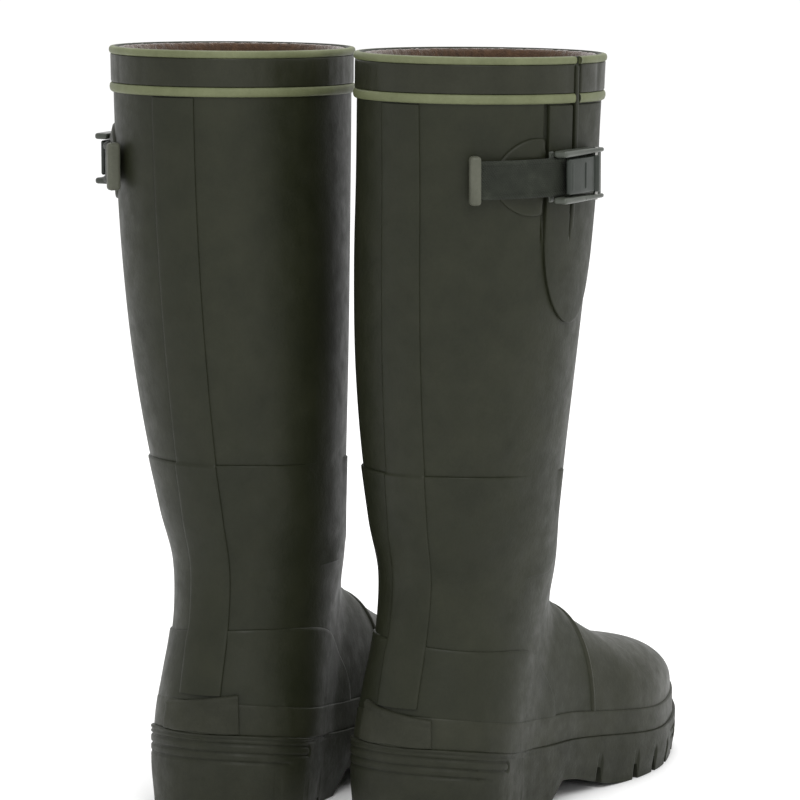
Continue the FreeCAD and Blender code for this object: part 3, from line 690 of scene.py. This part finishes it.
def piping_ring(height, half_height, reach):
    """Rounded cord of rubber round the rim, open at the slit."""
    angles = np.linspace(math.radians(88.6), 2 * math.pi + math.radians(85.2), 300)
    turn = np.linspace(-math.pi / 2, math.pi / 2, 11)
    rounded = height + half_height * np.sin(turn)
    heights = np.concatenate([[height - half_height], rounded, [height + half_height]])
    lifts = np.concatenate([[-1.0], reach * np.cos(turn) ** 0.6 - 0.1, [-1.0]])
    levels = rim_level(angles[None, :], heights[:, None])
    grid = on_boot(shaft_guess(angles[None, :], levels), lifts[:, None], 4)
    count = len(angles)
    faces = grid_faces(len(heights), count)
    faces.append(tuple(range(0, len(heights) * count, count))[::-1])
    faces.append(tuple(range(count - 1, len(heights) * count, count)))
    return grid, faces


def back_strip():
    """Moulded rib down the back, from the lower piping over the heel to the kick plate."""
    across, full_x = edge_lines(-STRIP_HALF, STRIP_HALF, 2.0, 1.6)
    heights = lines(STRIP_FOOT, 390.0, 3.0, [(ANKLE_HIGH, 3.0, 0.5)])
    shift, _, _, width = ring_at(heights)
    middle = shift - STRIP_DRIFT * np.clip((heights - 194.6) / 200.0, 0.0, 1.0)
    aside = (middle[:, None] + across[None, :] - shift[:, None]) / width[:, None]
    angle = np.arcsin(np.clip(aside, -1, 1))
    under = OVERLAY * (1 - smooth_step(94.0, 106.0, heights))
    under = under + OVERLAY * smooth_step(136.0, 162.0, heights) * (1 - smooth_step(193.2, 194.4, heights))
    lift = under[:, None] + STRIP_WALL * full_x[None, :]
    grid = on_boot(shaft_guess(angle, heights[:, None]), lift, 4)
    return grid, grid_faces(len(heights), len(across))


def ankle_overlay():
    """Second layer round the ankle: ledge on top, rounded lower front corners, fading out low at the back."""
    reach = ANKLE_REACH * ANKLE_RADIUS
    arcs, full_a = edge_lines(-reach, reach, 2.4, 0.8)
    rows, full_v = edge_lines(0.0, ANKLE_ROWS, 2.5, 1.2)
    part = np.clip(rows / ANKLE_ROWS, 0.0, 1.0)
    angles = arcs / ANKLE_RADIUS
    over = np.clip(np.abs(arcs) - (reach - ANKLE_CORNER), 0.0, ANKLE_CORNER)
    low = ANKLE_LOW + ANKLE_CORNER - np.sqrt(ANKLE_CORNER ** 2 - over ** 2 + 1e-6)
    high = ANKLE_HIGH - 4.0 * smooth_step(math.radians(20), math.radians(110), np.abs(angles))
    heights = low[None, :] + (high - low)[None, :] * part[:, None]
    full = np.minimum(full_v[:, None], full_a[None, :])
    turn = np.abs(angles)[None, :]
    sharp_low = smooth_step(math.radians(78), math.radians(98), turn)
    fade_low = smooth_step(ANKLE_LOW, 162.0, heights) * (1 - sharp_low) + sharp_low
    near_front = smooth_step(math.radians(104), math.radians(110), turn)
    soft_top = smooth_step(math.radians(52), math.radians(78), turn) * (1 - near_front)
    soft_top = soft_top * smooth_step(high[None, :] - 30.0, high[None, :], heights)
    lift = OVERLAY * full * fade_low * (1 - 0.97 * soft_top) - 0.03
    grid = on_boot(shaft_guess(angles[None, :], heights), lift, 5)
    return grid, grid_faces(len(rows), len(arcs))


def leaf_low(y):
    """Lower edge of the leaf-shaped tongue at a distance from the slit."""
    middle = (TONGUE_REAR + TONGUE_FORE) / 2
    half = (TONGUE_FORE - TONGUE_REAR) / 2
    rest = np.clip(1.0 - ((y - middle) / half) ** 2, 0.0, 1.0)
    return TONGUE_SHOULDER - (TONGUE_SHOULDER - TONGUE_TIP) * np.sqrt(rest)


def gusset_tongue():
    """Raised leaf over the calf gusset with the slit cut through it."""
    across, full_y = edge_lines(TONGUE_REAR, TONGUE_FORE, 1.6, 0.9)
    near_slit = SLIT_SHIFT + np.linspace(-1.2, 5.4, 23)
    away = (across < near_slit[0] - 0.3) | (across > near_slit[-1] + 0.3)
    full_y = np.concatenate([full_y[away], np.ones(len(near_slit))])
    across = np.concatenate([across[away], near_slit])
    order = np.argsort(across)
    across = across[order]
    full_y = full_y[order]
    rows, full_v = edge_lines(0.0, 100.0, 2.0, 1.1)
    part = np.clip(rows / 100.0, 0.0, 1.0) ** 1.15
    low = leaf_low(across)
    low = np.minimum(low, TONGUE_SHOULDER)
    heights = low[None, :] + (TONGUE_TOP - low)[None, :] * part[:, None]
    full = np.minimum(full_v[:, None], full_y[None, :])
    slit_width = 0.45 + 0.55 * smooth_step(SLIT_BOTTOM, SLIT_BOTTOM + 30.0, heights)
    slit = np.clip(1.5 - np.abs(across[None, :] - SLIT_SHIFT - 0.6) / slit_width, 0.0, 1.0)
    slit = slit * smooth_step(SLIT_BOTTOM - 2.0, SLIT_BOTTOM + 3.0, heights)
    lift = TONGUE_WALL * full - 3.5 * slit * np.clip(full, 0.0, 1.0)
    angle = outer_angle(SLIT_Y + across[None, :] + 0 * heights, heights)
    grid = on_boot(shaft_guess(angle, rim_level(angle, heights)), lift, 4)
    return grid, grid_faces(len(rows), len(across))


def slit_trim():
    """Bead along the front edge of the slit."""
    across, full_y = edge_lines(1.5, 4.2, 0.6, 0.7)
    rows, full_v = edge_lines(SLIT_BOTTOM + 2.0, 410.5, 2.5, 1.0)
    angle = outer_angle(SLIT_Y + SLIT_SHIFT + across[None, :] + 0 * rows[:, None], rows[:, None])
    full = np.minimum(full_v[:, None], full_y[None, :])
    slim = 0.7 + 0.3 * smooth_step(SLIT_BOTTOM, SLIT_BOTTOM + 30.0, rows)[:, None]
    grid = on_boot(shaft_guess(angle, rim_level(angle, rows[:, None])), 0.6 + 1.5 * full * slim, 4)
    return grid, grid_faces(len(rows), len(across))


PATCH_RADIUS = 20.5
PATCH_REAR = -31.0


def anchor_patch():
    """Round patch behind the buckle with the swelling of the fastener under it."""
    turns = np.linspace(0, 2 * math.pi, 73)[:-1]
    reach = np.array([1.004, 1.0, 0.99, 0.965, 0.92, 0.8, 0.65, 0.5, 0.35, 0.2, 0.06])
    fulls = np.array([-0.5, 0.0, 0.6, 0.92, 1.0, 1.0, 1.0, 1.0, 1.0, 1.0, 1.0])
    y = PATCH_REAR + PATCH_RADIUS * reach[:, None] * np.cos(turns)[None, :]
    z = STRAP_Z + PATCH_RADIUS * reach[:, None] * np.sin(turns)[None, :]
    limit = TONGUE_REAR - TONGUE_GROOVE
    border = smooth_step(limit + 0.1, limit - 1.0, y)
    y = np.minimum(y, limit)
    swell = 2.0 * np.exp(-(((y + 33.0) / 7.5) ** 2 + ((z - STRAP_Z - 12.0) / 4.5) ** 2))
    lift = 1.4 * np.minimum(fulls[:, None], border) + swell * (fulls[:, None] > 0.9)
    angle = outer_angle(SLIT_Y + y, z)
    grid = on_boot(shaft_guess(angle, z), lift, 4)
    faces = grid_faces(len(reach), len(turns), True)
    faces.append(tuple(range((len(reach) - 1) * len(turns), len(reach) * len(turns))))
    return grid, faces


# ---------------------------------------------------------------- heel, foxing and sole

def wall_columns(y_end, spacing, bevel):
    """Plan points round the heel up to y_end on both sides, with how full the layer is at each."""
    samples = np.linspace(-0.25, 0.25, 601)
    curve = closed_curve(outline(0.0), samples % 1.0)
    length = np.concatenate([[0], np.cumsum(np.hypot(*np.diff(curve, axis=0).T))])
    outer = np.interp(y_end, curve[300:, 1], length[300:])
    inner = np.interp(y_end, curve[300::-1, 1], length[300::-1])
    places, fulls = edge_lines(inner, outer, spacing, bevel)
    plan = np.stack([np.interp(places, length, curve[:, 0]), np.interp(places, length, curve[:, 1])], -1)
    return plan, fulls


def wall_layer(plan, fulls, low, high, thickness, bevel, spacing, base=0.0, wrap=False):
    """Raised layer on the heel and foot wall between two edge lines."""
    typical = float(np.max(high - low))
    rows, full_v = edge_lines(0.0, typical, spacing, bevel)
    part = rows / typical
    heights = low[None, :] + (high - low)[None, :] * part[:, None]
    full = np.minimum(full_v[:, None], fulls[None, :])
    guess = np.concatenate([np.broadcast_to(plan[None], heights.shape + (2,)), heights[..., None]], -1)
    lift = base + thickness * full
    grid = on_boot(guess, 0.0, 14)
    grid[..., 2] = heights
    grid = on_boot(grid, lift, 2)
    return grid, grid_faces(len(rows), len(fulls), wrap), heights


def heel_counter():
    """Raised patch round the heel, rising to a crest at the back."""
    plan, fulls = wall_columns(107.0, 2.5, 1.2)
    y = plan[:, 1]
    low = foxing_top(y) - 1.0
    ahead = np.clip((y - 52.0) / 55.5, 0.0, 1.0)
    crest = 103.0 - 0.09 * y - 0.06 * (plan[:, 0] - 2.0)
    high = low + (crest - low) * np.sqrt(np.clip(1.0 - ahead ** 2.4, 0.003, 1.0))
    grid, faces, _ = wall_layer(plan, fulls, low, high, 1.1, 2.2, 2.5)
    return grid, faces


def foxing_strip():
    """Band over the joint of upper and sole, all the way round."""
    curve = closed_curve(outline(0.0), np.linspace(0, 1, 361)[:-1])
    y = curve[:, 1]
    low = sole_top(y) - 0.5
    grid, faces, _ = wall_layer(curve, np.ones(len(curve)), low, foxing_top(y), OVERLAY, 1.2, 1.6, wrap=True)
    return grid, faces


def kick_plate():
    """Thick plate at the back of the heel with a lip along its top edge."""
    samples = np.linspace(-0.06, 0.06, 241)
    curve = closed_curve(outline(0.0), samples % 1.0)
    places, fulls = edge_lines(-21.2, 22.6, 1.6, 0.8)
    plan = np.stack([places + 0.5, np.interp(places + 0.5, curve[:, 0], curve[:, 1])], -1)
    low = np.full(len(places), 49.0)
    high = 68.0 - 0.15 * places
    rows, full_v = edge_lines(0.0, 19.0, 1.0, 1.0)
    part = rows / 19.0
    heights = low[None, :] + (high - low)[None, :] * part[:, None]
    full = np.minimum(full_v[:, None], fulls[None, :])
    lip = np.exp(-((high[None, :] - 2.2 - heights) / 1.3) ** 2)
    belly = np.sin(np.clip(part, 0, 1) * math.pi)[:, None]
    lift = OVERLAY * 0.6 + full * (2.3 + 0.9 * lip + 0.5 * belly)
    guess = np.concatenate([np.broadcast_to(plan[None], heights.shape + (2,)), heights[..., None]], -1)
    grid = on_boot(guess, lift, 10)
    return grid, grid_faces(len(rows), len(fulls))


HEEL_EDGE = 92.0
HEEL_FRONT = 108.0
BREAST_TURN = math.tan(math.radians(9.5))
ARCH = 12.0
ARCH_MIDDLE = 120.0
TREAD = 176.0
TOE_SPRING = 7.0
LUG_DEPTH = 8.5
LUG_CUTS = (151.0, 185.0, 207.0, 229.0, 250.0, 268.0)
HEEL_CUTS = (20.0, 42.0, 64.0)
GROOVE_END = 46.0


def sole_floor(x, y):
    """Underside of the sole without its lugs."""
    heel = HEEL_FRONT + x * BREAST_TURN
    breast = np.clip((y - (heel - (HEEL_FRONT - HEEL_EDGE))) / (HEEL_FRONT - HEEL_EDGE), 0.0, 1.0) * ARCH
    tread = (1.0 - smooth_step(ARCH_MIDDLE - 6.0, TREAD, y)) * ARCH
    toe_end = FOOT_RIBS[-1][0] + FLANGE
    toe = np.clip((y - toe_end + 55.0) / 56.0, 0.0, 1.0) * TOE_SPRING
    return np.minimum(breast, tread) + toe


def lug_cut(y):
    """How deep the channels between the lugs reach up into the side wall, 0 to 1."""
    cut = np.zeros_like(y)
    for place in LUG_CUTS:
        cut = np.maximum(cut, 1.0 - smooth_step(1.7, 2.7, np.abs(y - place)))
    for place in HEEL_CUTS:
        cut = np.maximum(cut, 0.45 * (1.0 - smooth_step(1.7, 2.7, np.abs(y - place))))
    return cut


def side_grooves(y, below):
    """Moulded grooves of the sole's side wall; below is the depth under its upper lip."""
    end = np.maximum(y - (GROOVE_END - 3.0), 0.0)
    around = np.hypot(end, below - 7.4)
    loop = np.exp(-((around - 2.5) / 0.62) ** 2)
    low_end = 1 - smooth_step(GROOVE_END - 22.0, GROOVE_END - 14.0, y)
    low_line = np.exp(-((below - 14.6) / 0.62) ** 2) * low_end
    under_lip = np.exp(-((below - 2.3) / 0.5) ** 2) * (1 - smooth_step(60.0, 100.0, y)) * 0.7
    toe = smooth_step(232.0, 246.0, y)
    toe_lines = (np.exp(-((below - 6.0) / 0.7) ** 2) + np.exp(-((below - 10.5) / 0.7) ** 2)) * toe
    return 1.3 * np.maximum(np.maximum(loop, low_line), np.maximum(under_lip, 0.9 * toe_lines))


def outsole():
    """Side wall, lip and tread of the sole."""
    count = 1100
    base_curve = closed_curve(outline(FLANGE - 0.1), np.linspace(0, 1, count + 1)[:-1])
    normal = curve_normal(base_curve)
    x, y = base_curve[:, 0], base_curve[:, 1]
    top = sole_top(y)
    floor = sole_floor(x, y)
    floor = floor + lug_cut(y) * LUG_DEPTH * smooth_step(0.0, 1.0, np.clip(top - floor - 10.0, 0.0, 1.0))
    wall = top - floor
    rows = 64
    part = np.concatenate([[0.0, 0.0, 0.004], np.linspace(0.012, 0.985, rows), [0.995, 1.0]])
    offset = np.concatenate([[-4.0, -0.9, -0.35], np.zeros(rows), [-0.35, -0.9]])
    below = part[:, None] * wall[None, :]
    taper = -1.6 * smooth_step(0.45, 1.0, part)[:, None] * np.ones(count)[None, :]
    grooves = side_grooves(y[None, :] + 0 * below, below)
    inset = offset[:, None] + taper - grooves * (part[:, None] > 0.01) * (part[:, None] < 0.97)
    place = base_curve[None] + normal[None] * inset[..., None]
    heights = top[None, :] - below
    side_grid = np.concatenate([place, heights[..., None]], -1)
    faces = [face[::-1] for face in grid_faces(len(part), count, True)]
    pieces = [(side_grid, faces)]
    # Underside: strips across from the outer to the inner edge of the wall
    edge = side_grid[-1]
    half = count // 2
    outer = edge[:half + 1]
    inner = np.vstack([edge[:1], edge[:0:-1][:half]])
    spans = np.linspace(0.0, 1.0, 33)
    under = outer[:, None, :] * (1 - spans)[None, :, None] + inner[:, None, :] * spans[None, :, None]
    under_x, under_y = under[..., 0], under[..., 1]
    height = sole_floor(under_x, under_y)
    reach = np.minimum(spans, 1 - spans)[None, :] * 2.0
    channel = lug_cut(under_y) * (1 - smooth_step(0.55, 0.7, reach))
    well_length = smooth_step(24.0, 28.0, under_y) * (1 - smooth_step(74.0, 78.0, under_y))
    heel_well = smooth_step(0.62, 0.75, reach) * well_length
    height = height + channel * LUG_DEPTH + heel_well * 5.0
    height[:, 0] = outer[:, 2]
    height[:, -1] = inner[:, 2]
    under[..., 2] = height
    pieces.append((under, grid_faces(half + 1, len(spans))))
    return pieces


# ---------------------------------------------------------------- strap and buckle

FRAME_REAR = -27.0
FRAME_LENGTH = 40.0
FRAME_HEIGHT = 27.6
PIN_Y = 6.0
PIN_X = 69.6
LEVER_LENGTH = 28.0
RAIL_X = 67.15
RAIL_HALF_RISE = 3.95
RAIL_HALF_WIDTH = 1.7
BAR_HALF_LENGTH = 1.95


def strap():
    """Flat woven strap with raised borders, bent round the calf."""
    along = lines(STRAP_TAIL * ARC_OUT, STRAP_NOSE * ARC_OUT, 1.6)
    half = 9.95
    z = np.array([-half, -half + 0.25, -half + 1.0, -half + 1.9, -half + 2.4, -4.0, 0.0, 4.0,
                  half - 2.4, half - 1.9, half - 1.0, half - 0.25, half])
    outer = np.array([1.5, 2.05, 2.19, 2.05, 1.3, 1.2, 1.3, 1.2, 1.3, 2.05, 2.19, 2.05, 1.5])
    inner = np.array([0.4, 0.1, 0.0, 0.0, 0.0, 0.0, 0.0, 0.0, 0.0, 0.0, 0.0, 0.1, 0.4])
    loop_z = np.concatenate([z, z[::-1]])
    loop_r = np.concatenate([outer, inner[::-1]])
    a, zz = np.meshgrid(along, loop_z, indexing="ij")
    rr = np.broadcast_to(loop_r[None, :], a.shape)
    points = round_arc(np.stack([a.ravel(), rr.ravel(), zz.ravel() + STRAP_Z], -1))
    count = len(loop_z)
    faces = grid_faces(len(along), count, True)
    faces.append(tuple(range(count))[::-1])
    faces.append(tuple(range((len(along) - 1) * count, len(along) * count)))
    return points, [face[::-1] for face in faces]


def end_stop():
    """Rounded clamp on the strap's tail."""
    middle = STRAP_TAIL * ARC_OUT + 1.2
    points, faces = soft_box((middle, 0.7, STRAP_Z), (3.0, 3.45, 12.7), 1.9, 7)
    ridge_points, ridge_faces = soft_box((middle - 1.0, 2.6, STRAP_Z), (0.55, 1.6, 10.6), 0.5, 5)
    return [(round_arc(points), faces), (round_arc(ridge_points), ridge_faces)]


def local_box(y, x, z, half_y, half_x, half_z, radius, spread=5):
    """Rounded box at a place measured from the slit (y), the shaft's centre line (x) and the strap (z)."""
    return soft_box((SHAFT_X + x, SLIT_Y + y, STRAP_Z + z), (half_x, half_y, half_z), radius, spread)


def buckle_frame():
    """Two rails with a rounded, slightly swollen rear end, joined by bars front and rear."""
    pieces = []
    middle_y = FRAME_REAR + FRAME_LENGTH / 2
    for sign in (-1.0, 1.0):
        rail_z = sign * (FRAME_HEIGHT / 2 - RAIL_HALF_WIDTH)
        points, faces = local_box(middle_y, RAIL_X, rail_z, FRAME_LENGTH / 2, RAIL_HALF_RISE,
                                  RAIL_HALF_WIDTH, 1.4, 13)
        along = (points[:, 1] - SLIT_Y - FRAME_REAR) / FRAME_LENGTH
        thick = 1.0 - 0.28 * smooth_step(0.25, 1.0, along)
        centre_z = STRAP_Z + rail_z
        points[:, 2] = centre_z + (points[:, 2] - centre_z) * thick
        pieces.append((points, faces))
    bar_half = FRAME_HEIGHT / 2 - 0.6
    front_y = FRAME_REAR + FRAME_LENGTH - 2.0
    pieces.append(local_box(FRAME_REAR + 3.0, 60.2, 0.0, BAR_HALF_LENGTH, 0.62, bar_half, 0.6, 7))
    pieces.append(local_box(front_y, 68.1, 0.0, BAR_HALF_LENGTH, 1.05, bar_half, 0.9, 7))
    return pieces


def buckle_lever():
    """Lever plate with rounded corners, a stiffening rib and its rolled knuckle."""
    points, faces = local_box(PIN_Y - 13.6, 68.9, 0.0, 14.3, 1.28, 9.4, 1.1, 13)
    part = (points[:, 1] - SLIT_Y - (PIN_Y - LEVER_LENGTH)) / LEVER_LENGTH
    points[:, 0] += 0.9 * np.sin(np.clip(part, 0, 1) * math.pi)
    pieces = [(points, faces)]
    pieces.append(local_box(PIN_Y - 12.6, 71.0, 0.0, 0.6, 0.55, 6.8, 0.5, 7))
    pieces.append(local_box(PIN_Y - 24.6, 70.2, 0.0, 0.7, 0.5, 7.4, 0.45, 7))
    turns = np.linspace(0, 2 * math.pi, 25)[:-1]
    heights = np.array([-9.5, -9.5, -9.2, -8.8, 0.0, 8.8, 9.2, 9.5, 9.5])
    radii = np.array([1.35, 1.9, 2.12, 2.18, 2.18, 2.18, 2.12, 1.9, 1.35])
    ring = np.stack([SHAFT_X + PIN_X + radii[:, None] * np.cos(turns)[None, :],
                     SLIT_Y + PIN_Y + radii[:, None] * np.sin(turns)[None, :],
                     STRAP_Z + heights[:, None] + 0 * turns[None, :]], -1)
    pieces.append((ring, grid_faces(len(heights), len(turns), True)))
    return pieces


# ---------------------------------------------------------------- whole boot

def make_plans():
    """Meshes of the right boot in its own frame; both boots are built from them."""
    grid = upper_grid()
    return {"upper": grid, "seam": seam_ridge(), "lining": lining_parts(grid)}


def make_boot(side, mats, plans):
    """Every detailed piece of one boot."""
    make_upper(side, mats, plans)
    build("lining", side, [plans["lining"]], "boot", mats["lining"], ["lining"])
    for name, slot, finish, parts in plans["layers"]:
        build(name, side, parts, "boot", mats[finish], [name])
    build("strap", side, [plans["strap"]], "strap_set", mats["strap"], ["strap"])
    build("strap_end_stop", side, plans["stop"], "strap_set", mats["stop"],
          ["strap_end_stop"])
    build("buckle_frame", side, plans["frame"], "boot", mats["rail"], ["buckle_frame"])
    build("buckle_lever", side, plans["lever"], "lever_set", mats["buckle"], ["buckle_lever"])


# ---------------------------------------------------------------- light, floor and camera

def lamp(name, place, aim, size, power):
    """Soft square lamp that faces a point."""
    data = bpy.data.lights.new(name, "AREA")
    data.shape = "SQUARE"
    data.size = size
    data.energy = power
    holder = bpy.data.objects.new(name, data)
    bpy.context.scene.collection.objects.link(holder)
    holder.location = place
    direction = mathutils.Vector(aim) - mathutils.Vector(place)
    holder.rotation_euler = direction.to_track_quat("-Z", "Y").to_euler()


def stage_and_light():
    """Pale paper floor, bright even surroundings and two soft lamps."""
    world = bpy.data.worlds.new("studio")
    bpy.context.scene.world = world
    world.use_nodes = True
    world.node_tree.nodes["Background"].inputs[0].default_value = (1, 1, 1, 1)
    world.node_tree.nodes["Background"].inputs[1].default_value = 1.06
    bpy.context.scene.view_settings.view_transform = "Standard"
    bpy.ops.mesh.primitive_plane_add(size=12, location=(0, 0, 0))
    floor = bpy.context.object
    floor.name = "floor"
    material, tree, shader, place = new_material("floor_paper")
    paper = ramp(tree, noise(tree, place, 40.0), [(0.3, (0.955, 0.955, 0.955)), (0.7, (0.975, 0.975, 0.975))])
    tree.links.new(paper, shader.inputs["Base Color"])
    shader.inputs["Roughness"].default_value = 0.95
    floor.data.materials.append(material)
    lamp("key", (1.6, -1.4, 2.2), (0.0, 0.0, 0.2), 1.2, 30.0)
    lamp("top", (-0.3, 0.8, 2.6), (0.0, 0.0, 0.2), 1.6, 26.0)


def camera():
    """Camera behind the pair's outer right side, a little above knee height."""
    data = bpy.data.cameras.new("camera")
    data.sensor_width = 36.0
    data.lens = 200.07
    data.shift_x = -0.037
    data.clip_end = 50.0
    holder = bpy.data.objects.new("camera", data)
    bpy.context.scene.collection.objects.link(holder)
    turn = math.radians(28.99)
    distance = 2.447
    holder.location = (math.sin(turn) * distance, -math.cos(turn) * distance + CAMERA_AHEAD, 0.572)
    holder.rotation_euler = (math.radians(90.0 - 8.355), 0.0, turn)
    bpy.context.scene.camera = holder


materials = make_materials()
finish_kept_nodes(materials)
plans = make_plans()
plans["layers"] = [
    ("top_band", "band_rubber", "band", [top_band()]),
    ("upper_piping", "piping_rubber", "piping", [piping_ring(413.1, 2.0, 2.1)]),
    ("lower_piping", "piping_rubber", "piping", [piping_ring(393.3, 2.55, 2.15)]),
    ("ankle_overlay", "overlay_rubber", "overlay", [ankle_overlay()]),
    ("back_strip", "overlay_rubber", "overlay", [back_strip()]),
    ("heel_counter", "overlay_rubber", "overlay", [heel_counter()]),
    ("foxing_strip", "foxing_rubber", "foxing", [foxing_strip()]),
    ("heel_kick_plate", "kick_rubber", "kick", [kick_plate()]),
    ("outsole", "sole_rubber", "sole", outsole()),
    ("gusset_tongue", "gusset_rubber", "gusset", [gusset_tongue()]),
    ("slit_trim", "gusset_rubber", "gusset", [slit_trim()]),
    ("anchor_patch", "patch_rubber", "patch", [anchor_patch()]),
]
plans["strap"] = strap()
plans["stop"] = end_stop()
plans["frame"] = buckle_frame()
plans["lever"] = buckle_lever()
for boot_side in (1, -1):
    make_boot(boot_side, materials, plans)
stage_and_light()
camera()
